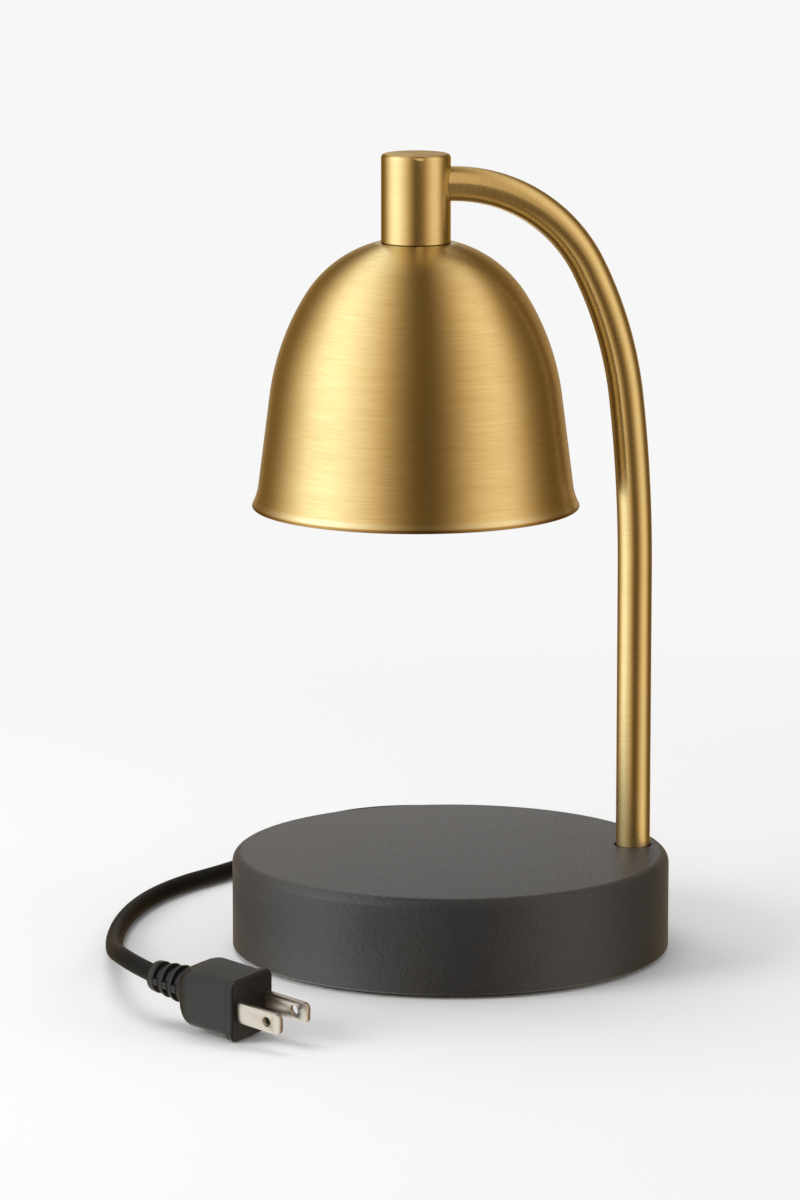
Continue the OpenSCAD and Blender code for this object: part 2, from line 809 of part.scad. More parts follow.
// Slot in which one pin turns through the twist angle; the pin's short way is
// taken as its chord, and the slot is wider by the rise of the arc
module pin_slot(half_w, h) {
    half_a = twist_a / 2;
    half_c = pin_span / 2 * sin(half_a);
    w = half_w + pin_span / 2 * (1 - cos(half_a));
    at_az(-half_a) translate([pin_span / 2 * cos(half_a), 0, 0])
        linear_extrude(height = h) {
            translate([-w, -half_c]) square([2 * w, 2 * half_c]);
            for (y = [-half_c, half_c]) translate([0, y]) circle(r = w);
        }
}

module lamp_holder() {
    stem_w = pin_d / 2 + 0.25;
    head_w = pin_head_d / 2 + turn_gap;
    color(CERAMIC)
    translate([shade_x, 0, 0])
    difference() {
        translate([0, 0, holder_z0])
            rotate_extrude($fn = 64)
                polygon([
                    [0, 0], [holder_d / 2 - holder_chamfer, 0], [holder_d / 2, holder_chamfer],
                    [holder_d / 2, holder_h - edge_chamfer], [holder_d / 2 - edge_chamfer, holder_h],
                    [0, holder_h]
                ]);
        for (a = [0, 180]) at_az(a) {
            translate([0, 0, holder_z0 - 1]) pin_slot(stem_w, holder_face_t + 2);
            translate([0, 0, chamber_z]) pin_slot(head_w, chamber_h);
            at_az(-twist_a) translate([pin_span / 2, 0, holder_z0 - 1])
                cylinder(r = pin_head_d / 2 + 0.25, h = holder_face_t + 2);
            translate([pin_span / 2, 0, chamber_z]) cylinder(r = wire_hole_r, h = holder_h);
            translate([holder_screw_span / 2, 0, holder_z1 - holder_screw_len])
                cylinder(d = holder_screw_d + 2 * screw_gap, h = holder_screw_len + 1);
        }
    }
}

// Spring leaf over each pin, with its tail in the wire hole
module holder_contacts() {
    leaf_z = chamber_z + chamber_h - contact_t;
    color(BRASS)
    translate([shade_x, 0, 0])
    for (a = [0, 180]) at_az(a) {
        translate([(pin_span - contact_w) / 2, -contact_len / 2, leaf_z])
            cube([contact_w, contact_len, contact_t]);
        translate([pin_span / 2, 0, leaf_z]) cylinder(r = wire_hole_r - seat_gap, h = contact_tail);
    }
}

// ---- lamp ----

module bulb_base() {
    color(CERAMIC)
    translate([shade_x, 0, 0])
    difference() {
        rotate_extrude($fn = 64)
            polygon([
                [0, bulb_base_z], [bulb_collar_r - 2 * edge_chamfer, bulb_base_z],
                [bulb_collar_r, bulb_base_z + bulb_rim_h],
                [bulb_collar_r - edge_chamfer, bulb_z1 - 2 * lens_lip],
                [bulb_collar_r - 2 * lens_lip, bulb_z1], [0, bulb_z1]
            ]);
        for (x = [-1, 1])
            translate([x * pin_span / 2, 0, bulb_z1 - pin_root])
                cylinder(r = pin_d / 2 + fit_gap, h = pin_root + 1);
        translate([0, 0, bulb_base_z - 1]) cylinder(r = capsule_r + 0.3, h = capsule_root + 1.3);
    }
}

module bulb_reflector() {
    color("lightgray")
    translate([shade_x, 0, 0])
    difference() {
        rotate_extrude($fn = 64)
            polygon(concat(
                [[0, bulb_front_z], [bulb_r - edge_chamfer, bulb_front_z],
                 [bulb_r, bulb_front_z + edge_chamfer],
                 [bulb_r, bulb_front_z + bulb_rim_h - edge_chamfer]],
                bowl(0, 10),
                [[0, bulb_base_z]]
            ));
        rotate_extrude($fn = 64)
            polygon(concat(
                [[0, bulb_front_z + lens_t]],
                bowl(glass_t, 10),
                [[0, bulb_base_z - glass_t]]
            ));
        translate([0, 0, bulb_front_z - 1]) cylinder(r = bulb_r - glass_t, h = lens_t + 1);
        translate([0, 0, bulb_base_z - glass_t - 2]) cylinder(r = capsule_r + 0.4, h = glass_t + 3);
    }
}

module bulb_lens() {
    color("white", 0.5)
    translate([shade_x, 0, bulb_front_z + seat_gap])
        rotate_extrude($fn = 64)
            polygon([
                [0, 0], [bulb_r - glass_t - lens_lip - seat_gap, 0], [bulb_r - glass_t - seat_gap, lens_lip],
                [bulb_r - glass_t - seat_gap, lens_t - seat_gap], [0, lens_t - seat_gap]
            ]);
}

module bulb_pins() {
    color(STEEL)
    for (x = [-1, 1])
        translate([shade_x + x * pin_span / 2, 0, bulb_z1 - pin_root]) {
            cylinder(d = pin_d, h = pin_root + 2 * turn_gap + holder_face_t + eps);
            translate([0, 0, pin_root + 2 * turn_gap + holder_face_t])
                cylinder(d = pin_head_d, h = pin_head_h);
        }
}

module bulb_capsule() {
    z1 = bulb_base_z + capsule_root;
    color("white", 0.6)
    translate([shade_x, 0, 0]) {
        translate([0, 0, z1 - capsule_len + capsule_r])
            cylinder(r = capsule_r, h = capsule_len - capsule_r);
        translate([0, 0, z1 - capsule_len + capsule_r]) sphere(r = capsule_r);
    }
}

// ---- dimmer ----

module dimmer_knob() {
    color(RUBBER)
    at_az(knob_az) translate([knob_x, 0, knob_z]) rotate([0, 90, 0])
        difference() {
            rotate_extrude($fn = 48)
                polygon([
                    [0, 0], [knob_d / 2, 0], [knob_d / 2, knob_len - 1.4],
                    [knob_d / 2 - 0.4, knob_len - 0.5], [knob_d / 2 - 1.3, knob_len], [0, knob_len]
                ]);
            translate([0, 0, -1]) cylinder(r = knob_d / 2 - knob_wall, h = knob_cave + 1);
            translate([0, 0, -1]) cylinder(d = spindle_d + 2 * fit_gap, h = knob_len - 0.8);
            for (i = [0 : knob_flutes - 1])
                rotate([0, 0, 360 / knob_flutes * (i + 0.5)])
                    translate([knob_d / 2 + 0.25, 0, 1]) cylinder(r = 0.6, h = knob_len, $fn = 16);
            translate([-knob_d / 2 + 1, -0.4, knob_len - 0.4]) cube([knob_d / 3, 0.8, 1]);
        }
}

module dimmer_spindle() {
    color(STEEL)
    at_az(knob_az) translate([spindle_x, 0, knob_z]) rotate([0, 90, 0])
        cylinder(d = spindle_d, h = spindle_end - spindle_x);
}

module dimmer_nut() {
    color(STEEL)
    at_az(knob_az) translate([spot_x, 0, knob_z]) rotate([0, 90, 0])
        hex_nut(knob_nut_af, knob_nut_h, bushing_r + fit_gap);
}

module dimmer_body() {
    color(RUBBER)
    at_az(knob_az)
    difference() {
        union() {
            translate([pot_x - pot_len, -pot_w / 2, knob_z - pot_w / 2]) cube([pot_len, pot_w, pot_w]);
            translate([pot_x - eps, 0, knob_z]) rotate([0, 90, 0])
                cylinder(r = bushing_r, h = bushing_x - pot_x + eps);
        }
        translate([spindle_x - 0.3, 0, knob_z]) rotate([0, 90, 0])
            cylinder(d = spindle_d + 2 * fit_gap, h = bushing_x - spindle_x + 2);
    }
}

module dimmer_board() {
    color("seagreen")
    at_az(knob_az) translate([board_x, board_y0, board_z])
        cube([pot_x - 1 - board_x, board_y1 - board_y0, board_t]);
}

// Choke, capacitor and power switch on the board, behind the dimmer body
module board_parts() {
    top = board_z + board_t;
    room = pot_x - pot_len - board_x;
    color("goldenrod")
    at_az(knob_az) {
        translate([board_x + choke_r + part_gap, board_y0 + choke_r + part_gap, top])
            cylinder(r = choke_r, h = choke_h);
        translate([board_x + part_gap, -capacitor_w / 2, top])
            cube([room - 2 * part_gap, capacitor_w, capacitor_h]);
        translate([board_x + room / 3, capacitor_w / 2 + part_gap, top])
            cube([room * 2 / 3 - part_gap, switch_w, switch_h]);
    }
}

// ---- mains lead in the base ----

function relief_x(u) = base_r + 3 + (relief_len - 3) * u;
function relief_rad(u) = relief_root_r + (relief_tip_r - relief_root_r) * u;

module cord_relief() {
    groove = 0.7;
    ribs = 5;
    color(RUBBER)
    at_az(cord_az) translate([0, 0, cord_z]) rotate([0, 90, 0])
        rotate_extrude($fn = 32)
            polygon(concat(
                [
                    [0, relief_in_x], [relief_flange_r, relief_in_x], [relief_flange_r, in_r - 0.4],
                    [relief_neck_r, in_r - 0.4], [relief_neck_r, base_r + 0.3],
                    [relief_collar_r, base_r + 0.3], [relief_collar_r, base_r + 2.4],
                    [relief_root_r, base_r + 3]
                ],
                [
                    for (i = [0 : ribs - 1])
                        let (a = (i + 0.45) / ribs, b = (i + 0.9) / ribs)
                            each [
                                [relief_rad(a), relief_x(a)], [relief_rad(a) - groove, relief_x(a)],
                                [relief_rad(b) - groove, relief_x(b)], [relief_rad(b), relief_x(b)]
                            ]
                ],
                [[relief_tip_r, relief_tip_x], [0, relief_tip_x]]
            ));
}

module cord_inner() {
    color(RUBBER)
    at_az(cord_az) translate([cord_inner_x, 0, cord_z]) rotate([0, 90, 0])
        cylinder(r = cord_r, h = relief_in_x - cord_inner_x);
}

// Two cores from the end of the lead, round and down onto the dimmer board
module cord_cores() {
    out = -radial(cord_az);
    in = radial(knob_az);
    p0 = cord_inner_x * radial(cord_az) + [0, 0, cord_z];
    p3 = (board_x + 3) * in + (board_y1 - 3) * radial(knob_az + 90)
        + [0, 0, board_z + board_t + core_r + 0.02];
    run = bezier(p0, p0 + core_reach * out, p3 - core_reach * in, p3, 10);
    color("white")
    for (s = [-1, 1]) sweep(beside(run, out, in, s * core_apart / 2), core_r, 6, out, in);
}

module cord_clamp() {
    low = cord_z - cord_r - 1.6;
    top = cord_z + cord_r - clamp_squeeze;
    color(STEEL)
    at_az(cord_az)
    difference() {
        translate([clamp_x + 1, -clamp_span / 2, low]) cube([clamp_w - 2, clamp_span, top - low]);
        translate([clamp_x, 0, cord_z]) rotate([0, 90, 0]) cylinder(r = cord_r + fit_gap, h = clamp_w);
        translate([clamp_x, -cord_r - fit_gap, cord_z]) cube([clamp_w, cord_d + 2 * fit_gap, cord_d]);
        for (y = [-clamp_screw_y, clamp_screw_y])
            translate([clamp_x + clamp_w / 2, y, low - 1])
                cylinder(d = clamp_screw_d + 2 * seat_gap, h = top - low + 2);
    }
}

module clamp_screws() {
    low = cord_z - cord_r - 1.6;
    head_h = 1;
    color(STEEL)
    at_az(cord_az)
        for (y = [-clamp_screw_y, clamp_screw_y])
            translate([clamp_x + clamp_w / 2, y, low - head_h]) pan_screw(5, head_h, clamp_screw_d, 14);
}

// ---- free mains lead ----

module cord_exit() {
    color(RUBBER) sweep(exit_path, cord_r, 10, radial(cord_az), coil_in_dir);
}

module cord_coil() {
    color(RUBBER) sweep(coil_path, cord_r, coil_sides, coil_in_dir, coil_out_dir);
}

module cord_tie() {
    gap = 0.15;
    r0 = coil_mid_r - cord_r - gap;
    r1 = coil_mid_r + coil_pitch * half_turns + cord_r + gap;
    h = coil_lift + cord_d + coil_pitch + gap;
    color(CHARCOAL)
    translate([coil_x, coil_y, 0]) at_az(tie_az)
        translate([r0 - tie_t, tie_w / 2, 0]) rotate([90, 0, 0])
            linear_extrude(height = tie_w)
                difference() {
                    soft_rect(r1 - r0 + 2 * tie_t, h + tie_t, 1.6);
                    translate([tie_t, tie_t]) soft_rect(r1 - r0, h - tie_t, 1.2);
                }
}

module cord_lead() {
    color(RUBBER) sweep(lead_path, cord_r, 10, coil_out_dir, plug_dir);
}

module at_plug() {
    translate(plug_at) rotate([plug_roll, plug_pitch, plug_yaw]) children();
}

// The body narrows in plan and in height towards the lead
module plug_form(w, h, len, r) {
    intersection() {
        translate([-len, -w / 2, -h / 2 - plug_cut]) linear_extrude(height = h + 2 * plug_cut) {
            soft_rect(len, w, plug_back_r);
            translate([len / 2, 0]) square([len / 2, w]);
        }
        translate([-len, w / 2 + plug_cut, -h / 2]) rotate([90, 0, 0])
            linear_extrude(height = w + 2 * plug_cut) {
                soft_rect(len, h, plug_back_r);
                translate([len / 2, 0]) square([len / 2, h]);
            }
        translate([-len, 0, 0]) rotate([90, 0, 90]) translate([-w / 2, -h / 2])
            linear_extrude(height = len) soft_rect(w, h, r);
    }
}

module plug_body() {
    tail0 = plug_body_len - 2;
    tail1 = plug_body_len + plug_tail_len;
    root = plug_root_r;
    tip = plug_tip_r;
    step = (tail1 - tail0 - 3) / plug_ribs;
    color(CHARCOAL)
    at_plug()
    difference() {
        union() {
            plug_form(plug_w - 2 * plug_lip, plug_h - 2 * plug_lip, plug_body_len, plug_round);
            translate([-plug_lip_len, 0, 0]) rotate([90, 0, 90]) translate([-plug_w / 2, -plug_h / 2])
                linear_extrude(height = plug_lip_len) soft_rect(plug_w, plug_h, plug_round);
            rotate([0, -90, 0]) rotate_extrude($fn = 32)
                polygon(concat(
                    [[0, tail0 - 3], [root, tail0 - 3]],
                    [
                        for (i = [0 : plug_ribs - 1])
                            let (
                                z = tail0 + 2 + i * step,
                                r = root + (tip - root) * (i + 0.5) / plug_ribs,
                                low = r - plug_groove
                            )
                                each [[r, z], [low, z], [low, z + step / 2], [r, z + step / 2]]
                    ],
                    [[tip, tail1 - 0.6], [tip - 0.6, tail1], [0, tail1]]
                ));
            intersection() {
                rotate([0, -90, 0]) translate([0, 0, tail0])
                    cylinder(
                        r1 = root - plug_bar_drop, r2 = tip - plug_bar_drop,
                        h = tail1 - tail0 - 1, $fn = 32
                    );
                translate([-tail1, -root, -plug_bar_w / 2]) cube([tail1 - tail0, 2 * root, plug_bar_w]);
            }
        }
        for (s = [-1, 1])
            translate([-blade_root, s * blade_span / 2 - blade_t / 2, -blade_w / 2])
                cube([blade_root + 1, blade_t, blade_w]);
    }
}

module plug_blades() {
    tip_r = 1.7;
    color("silver")
    at_plug()
    for (s = [-1, 1])
        translate([0, s * blade_span / 2 + blade_t / 2, 0]) rotate([90, 0, 0])
            linear_extrude(height = blade_t)
                difference() {
                    union() {
                        translate([-blade_root, -blade_w / 2]) square([blade_root + blade_len / 2, blade_w]);
                        translate([0, -blade_w / 2]) soft_rect(blade_len, blade_w, tip_r);
                    }
                    translate([blade_hole_x, 0]) circle(d = blade_hole_d);
                }
}

base_shell();
base_weight();
bottom_cover();
cover_screws();
foot_pad();
arm_tube();
arm_stud();
arm_washer();
arm_nut();
arm_wires();
socket_cup();
shade();
shade_washer();
shade_nipple();
shade_nut();
holder_strap();
holder_screws();
lamp_holder();
holder_contacts();
bulb_base();
bulb_reflector();
bulb_lens();
bulb_pins();
bulb_capsule();
dimmer_knob();
dimmer_spindle();
dimmer_nut();
dimmer_body();
dimmer_board();
board_parts();
cord_relief();
cord_inner();
cord_cores();
cord_clamp();
clamp_screws();
cord_exit();
cord_coil();
cord_tie();
cord_lead();
plug_body();
plug_blades();
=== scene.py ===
"""Candle warmer lamp: the finish of every surface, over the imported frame.

Metres, +Z up, origin at the middle of the base on the table. The bent tube lies
in the XZ plane with its post towards +X. The bell's section, the lead and the plug
are worked out in millimetres.
"""

from math import asin, atan2, cos, degrees, hypot, pi, radians, sin, tau

import bmesh
import bpy
from mathutils import Matrix, Vector


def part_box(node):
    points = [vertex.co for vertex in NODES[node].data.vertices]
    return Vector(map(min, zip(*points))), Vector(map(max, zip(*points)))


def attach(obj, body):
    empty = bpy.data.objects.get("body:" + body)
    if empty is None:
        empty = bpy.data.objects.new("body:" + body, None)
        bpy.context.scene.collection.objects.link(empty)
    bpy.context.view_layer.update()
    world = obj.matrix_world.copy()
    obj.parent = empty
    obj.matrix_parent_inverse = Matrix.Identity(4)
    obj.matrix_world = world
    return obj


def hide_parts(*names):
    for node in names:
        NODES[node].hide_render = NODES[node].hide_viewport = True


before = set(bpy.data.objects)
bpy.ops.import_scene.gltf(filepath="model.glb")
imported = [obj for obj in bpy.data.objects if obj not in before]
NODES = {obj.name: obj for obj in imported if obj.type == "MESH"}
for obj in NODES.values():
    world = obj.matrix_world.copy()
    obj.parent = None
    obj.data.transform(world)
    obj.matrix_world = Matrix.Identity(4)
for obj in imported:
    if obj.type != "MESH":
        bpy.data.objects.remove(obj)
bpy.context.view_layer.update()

MM = 0.001


# ---- sizes ----

def size_of(node):
    """Lowest corner, highest corner and middle of a node."""
    lo, hi = (Vector(c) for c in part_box(node))
    return lo, hi, (lo + hi) / 2


CUP_LO, CUP_HI, CUP_MID = size_of("socket_cup")
ARM_LO, ARM_HI, _ = size_of("arm_tube")

# Cup
AXIS_X = CUP_MID.x            # the axis of cup, shade and lamp
CUP_R = (CUP_HI.x - CUP_LO.x) / 2
CUP_Z = CUP_LO.z              # also the top of the shade
CUP_H = CUP_HI.z - CUP_LO.z
CUP_EDGE = 1.2 * MM           # rounding of its top edge
CUP_EASE = 0.3 * MM           # chamfer of its lower edge

# Tube
ARM_R = 5.5 * MM
POST_X = 59.4 * MM
POST_TOP = 121.7 * MM         # where the post starts to bend
BENDS = [(490 * MM, 6.5), (126 * MM, 20), (49 * MM, 63.5)]      # radius, angle
ARM_IN_CUP = 4 * MM
ARM_TOP_Z = ARM_HI.z - ARM_R  # the axis of its level end

# Shade, in millimetres and degrees
SHADE_T_MM = 1.2
SHADE_TOP_R_MM = 12.4
SHADE_START_A = 15            # slope at the flat top's edge
SHADE_ARCS = [(38.3, 43.5), (80, 24.2)]          # crown and shoulder: radius, angle
SKIRT_MM = 29
FLARE = (17.5, -20.7)         # radius, angle, bent outwards
CROWN_FLAT = 0.6              # share of the flat top within a ring that keeps its shading flat

# Lead, its coil and the tie, in millimetres
CORD_R_MM = 2.8
COIL_AT = (6, 114.2)
COIL_R_MM = 24                # radius where it climbs from the lower layer to the upper
COIL_STEP_MM = 6.1            # between two turns, and between the two layers
COIL_LOW_MM = 3.25            # height of the lower layer's middle
COIL_TURNS = 5.2556
COIL_START_AZ = 37
COIL_RINGS = 24               # points to a turn
TIE_AZ = 200                  # where on the coil the tie sits
# The outer turns there, each by its distance from the coil's axis and its height
TIED_TURNS = [(25.07, 4.17), (31.17, 3.25), (37.27, 3.25), (35.13, 9.35), (29.03, 9.35)]
TIE_HALF_MM = 4               # half its width
TIE_OUT_MM, TIE_IN_MM = 3.25, 2.86               # its two faces, from a turn's middle

# Plug, in millimetres and degrees
PLUG_AT = (-76.6, -108, 10.2668)                 # middle of its face
PLUG_TURNS = (5, 5, -47.4)                       # roll, pitch, yaw
PLUG_LENGTH, PLUG_WIDTH, PLUG_HEIGHT = 26, 18.5, 19.5
PLUG_LIP, PLUG_CORNER, PLUG_BACK = 0.6, 2.5, 8.0
PLUG_TAIL = 13
TAIL_RIBS, TAIL_GROOVE = 3, 1.1                  # ribs, and the depth between them
BAR_EDGE, BAR_EASE = 15.3, 4.5                   # half angle of the bar in a groove, and its fading


# ---- meshes ----

def link(obj):
    bpy.context.scene.collection.objects.link(obj)
    return obj


def finish_mesh(name, bm, material, sharp=35):
    """Turns a bmesh into an object at the origin, smooth but for its edges."""
    bmesh.ops.recalc_face_normals(bm, faces=bm.faces)
    mesh = bpy.data.meshes.new(name)
    bm.to_mesh(mesh)
    bm.free()
    mesh.shade_smooth()
    mesh.set_sharp_from_angle(angle=radians(sharp))
    mesh.materials.append(material)
    return link(bpy.data.objects.new(name, mesh))


def arc(cx, cz, r, a0, a1, steps):
    """Points of an arc in a half section, from angle a0 to a1 in degrees."""
    angles = [radians(a0 + (a1 - a0) * i / steps) for i in range(steps + 1)]
    return [(cx + r * cos(a), cz + r * sin(a)) for a in angles]


def chain_arc(point, slope, r, turn, steps):
    """The points of a tangent arc that goes on from a point. The slope is below the
    horizontal, and a turn below zero bends back outwards."""
    side = r if turn > 0 else -r
    s = radians(slope)
    points = []
    for i in range(1, steps + 1):
        k = radians(slope + turn * i / steps)
        points.append((point[0] + side * (sin(k) - sin(s)), point[1] - side * (cos(s) - cos(k))))
    return points


def spun(name, section, material, steps):
    """Solid of revolution about the shade's axis, from a half section that starts
    and ends on it. The length along the section is kept in 'along'."""
    bm = bmesh.new()
    along = bm.verts.layers.float.new("along")
    verts, run = [], 0
    for i, (r, z) in enumerate(section):
        if i:
            run += hypot(r - section[i - 1][0], z - section[i - 1][1])
        v = bm.verts.new((AXIS_X + max(r, 0), 0, z))
        v[along] = run
        verts.append(v)
    edges = [bm.edges.new(pair) for pair in zip(verts, verts[1:])]
    bmesh.ops.spin(
        bm, geom=verts + edges, cent=(AXIS_X, 0, 0), axis=(0, 0, 1), angle=tau, steps=steps, use_merge=True
    )
    bmesh.ops.remove_doubles(bm, verts=bm.verts, dist=1e-7)
    return finish_mesh(name, bm, material)


def skin(name, rings, material, sharp=35, loop=False):
    """A grid wrapped through rings of points, with capped ends, or joined end to
    end when loop is set. The length along the rings' middles is kept in 'along'."""
    count = len(rings[0])
    bm = bmesh.new()
    along = bm.verts.layers.float.new("along")
    bm.loops.layers.uv.new("UVMap")
    grid = bmesh.ops.create_grid(
        bm, x_segments=count, y_segments=len(rings) - 1, size=1, calc_uvs=True
    )["verts"]
    grid = sorted(grid, key=lambda v: (round(v.co.y, 5), round(v.co.x, 5)))
    run, last = 0, None
    for i, ring in enumerate(rings):
        middle = sum(ring, Vector()) / count
        run += (middle - last).length if last else 0
        last = middle
        for k in range(count + 1):
            v = grid[i * (count + 1) + k]
            v.co = ring[k % count]
            v[along] = run
    bmesh.ops.remove_doubles(bm, verts=bm.verts, dist=1e-7)
    if not loop:
        bmesh.ops.holes_fill(bm, edges=bm.edges, sides=0)
    return finish_mesh(name, bm, material, sharp)


def directions(path):
    """The way of a path at each of its points."""
    ways = [(b - a).normalized() for a, b in zip(path, path[2:])]
    return [(path[1] - path[0]).normalized(), *ways, (path[-1] - path[-2]).normalized()]


def tube(name, path, radius, material, sides, side=None):
    """A round tube along a path, with no twist. Its first point is on the given side."""
    ways = directions(path)
    side = side or ways[0].orthogonal().normalized()
    rings = []
    for point, way in zip(path, ways):
        side = (side - way * side.dot(way)).normalized()
        up = way.cross(side)
        turns = [tau * k / sides for k in range(sides)]
        rings.append([point + (side * cos(a) + up * sin(a)) * radius for a in turns])
    return skin(name, rings, material)


def smoothed(points, parts):
    """A curve through the points, with each step cut in parts."""
    out = []
    ends = [points[0] * 2 - points[1], *points, points[-1] * 2 - points[-2]]
    for a, b, c, d in zip(ends, ends[1:], ends[2:], ends[3:]):
        for i in range(parts):
            t = i / parts
            bend = (a * 2 - b * 5 + c * 4 - d) * t ** 2 + (b * 3 - a - c * 3 + d) * t ** 3
            out.append((b * 2 + (c - a) * t + bend) / 2)
    return [*out, points[-1]]


def soften(node, width=0.0):
    """Welds a frame node's triangles and rounds its look, with its edges kept crisp,
    or eased by a small bevel when a width is given."""
    piece = NODES[node]
    piece.data.shade_smooth()
    weld = piece.modifiers.new("weld", "WELD")
    weld.merge_threshold = 1e-6
    if width:
        bevel = piece.modifiers.new("ease", "BEVEL")
        bevel.width = width
        bevel.segments = 2
        bevel.limit_method = "ANGLE"
        bevel.angle_limit = radians(40)
        bevel.harden_normals = True
    else:
        split = piece.modifiers.new("crisp", "EDGE_SPLIT")
        split.split_angle = radians(35)


def dress(node, material):
    """Gives a frame node its finish."""
    mesh = NODES[node].data
    mesh.materials.clear()
    mesh.materials.append(material)


def put(piece, body, slot, *nodes):
    """Rides a new piece on its body and hides what it stands for. The slot is not used."""
    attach(piece, body)
    if nodes:
        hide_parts(*nodes)
    return piece


# ---- camera ----

# The lens and the place of the camera come from a fit to the photograph
CAMERA_AT = (-0.2734, -1.8288, 0.4578)
CAMERA_TILT = 79.44
CAMERA_TURN = -8
CAMERA_LENS = 177.17
CAMERA_AZ = 261.5             # the way from the lamp to the camera


def add_camera():
    data = bpy.data.cameras.new("camera")
    data.sensor_width = 36
    data.lens = CAMERA_LENS
    data.clip_end = 20
    camera = link(bpy.data.objects.new("camera", data))
    camera.location = CAMERA_AT
    camera.rotation_euler = (radians(CAMERA_TILT), 0, radians(CAMERA_TURN))
    bpy.context.scene.camera = camera


add_camera()


# ---- shader helpers ----

class Shader:
    """A node tree with short calls for its nodes and links."""

    def __init__(self, tree):
        self.tree = tree

    def feed(self, socket, value):
        """Links a value to a socket, or sets it there."""
        if isinstance(value, bpy.types.NodeSocket):
            self.tree.links.new(value, socket)
        else:
            socket.default_value = value

    def node(self, kind, inputs=None, **settings):
        n = self.tree.nodes.new(kind)
        for key, value in settings.items():
            setattr(n, key, value)
        for key, value in (inputs or {}).items():
            self.feed(n.inputs[key], value)
        return n

    def coords(self):
        """Object coordinates, in metres."""
        return self.node("ShaderNodeTexCoord").outputs["Object"]

    def ray(self, kind):
        """1 for rays of a kind."""
        return self.node("ShaderNodeLightPath").outputs[f"Is {kind} Ray"]

    def math(self, operation, a, b=0.0):
        return self.node("ShaderNodeMath", {0: a, 1: b}, operation=operation).outputs[0]

    def near(self, value, middle, within):
        """1 where a value lies so near to the middle."""
        given = {0: value, 1: middle, 2: within}
        return self.node("ShaderNodeMath", given, operation="COMPARE").outputs[0]

    def vector(self, operation, a, b=(0, 0, 0)):
        """Vector math, where a length or a dot product is a number."""
        n = self.node("ShaderNodeVectorMath", {0: a, 1: b}, operation=operation)
        return n.outputs["Value" if operation in ("LENGTH", "DOT_PRODUCT") else "Vector"]

    def split(self, vector):
        return self.node("ShaderNodeSeparateXYZ", {"Vector": vector}).outputs

    def join(self, x, y, z):
        return self.node("ShaderNodeCombineXYZ", {0: x, 1: y, 2: z}).outputs[0]

    def scaled(self, vector, scale):
        return self.node("ShaderNodeMapping", {"Vector": vector, "Scale": (scale,) * 3}).outputs["Vector"]

    def span(self, value, low, high, at_low=0.0, at_high=1.0, soft=False):
        """Carries a value from its own range to another, with soft ends if asked."""
        return self.node(
            "ShaderNodeMapRange",
            {"Value": value, "From Min": low, "From Max": high, "To Min": at_low, "To Max": at_high},
            interpolation_type="SMOOTHSTEP" if soft else "LINEAR",
        ).outputs[0]

    def step(self, value, low, high):
        """A soft step from 0 at low to 1 at high."""
        return self.span(value, low, high, soft=True)

    def noise(self, vector, scale, detail, rough=0.5, distortion=0.0):
        return self.node(
            "ShaderNodeTexNoise",
            {
                "Vector": vector, "Scale": scale, "Detail": detail, "Roughness": rough,
                "Distortion": distortion,
            },
        ).outputs["Fac"]

    def bump(self, strength, depth, height):
        """Bumps of a depth in millimetres."""
        return self.node(
            "ShaderNodeBump", {"Strength": strength, "Distance": depth * MM, "Height": height}
        ).outputs[0]

    def ramp(self, value, stops, interpolation):
        n = self.node("ShaderNodeValToRGB", {"Fac": value})
        n.color_ramp.interpolation = interpolation
        while len(n.color_ramp.elements) < len(stops):
            n.color_ramp.elements.new(0.5)
        for element, (place, colour) in zip(n.color_ramp.elements, stops):
            element.position = place
            element.color = (*colour, 1)
        return n.outputs["Color"]

    def mix(self, factor, a, b, blend="MIX"):
        """Mixes two colours, each a socket or a plain RGB."""
        n = self.node("ShaderNodeMix", {0: factor}, data_type="RGBA", blend_type=blend)
        for index, colour in ((6, a), (7, b)):
            self.feed(n.inputs[index], (*colour, 1) if isinstance(colour, tuple) else colour)
        return n.outputs[2]

    def either(self, factor, a, b):
        """Mixes two shaders."""
        return self.node("ShaderNodeMixShader", {0: factor, 1: a, 2: b}).outputs[0]


def group(name, inputs, outputs):
    """Empty node group; returns its shader, its input node and its output node."""
    tree = bpy.data.node_groups.new(name, "ShaderNodeTree")
    for label, kind in inputs:
        tree.interface.new_socket(label, in_out="INPUT", socket_type=kind)
    for label, kind in outputs:
        tree.interface.new_socket(label, in_out="OUTPUT", socket_type=kind)
    return Shader(tree), tree.nodes.new("NodeGroupInput"), tree.nodes.new("NodeGroupOutput")


def material(name, **principled):
    """New material; returns it, its shader helper and its Principled node. A setting's
    name is the socket's, with _ for each space."""
    mat = bpy.data.materials.new(name)
    mat.use_nodes = True
    bsdf = mat.node_tree.nodes["Principled BSDF"]
    for key, value in principled.items():
        bsdf.inputs[key.replace("_", " ")].default_value = value
    return mat, Shader(mat.node_tree), bsdf


FLOAT, VECTOR = "NodeSocketFloat", "NodeSocketVector"


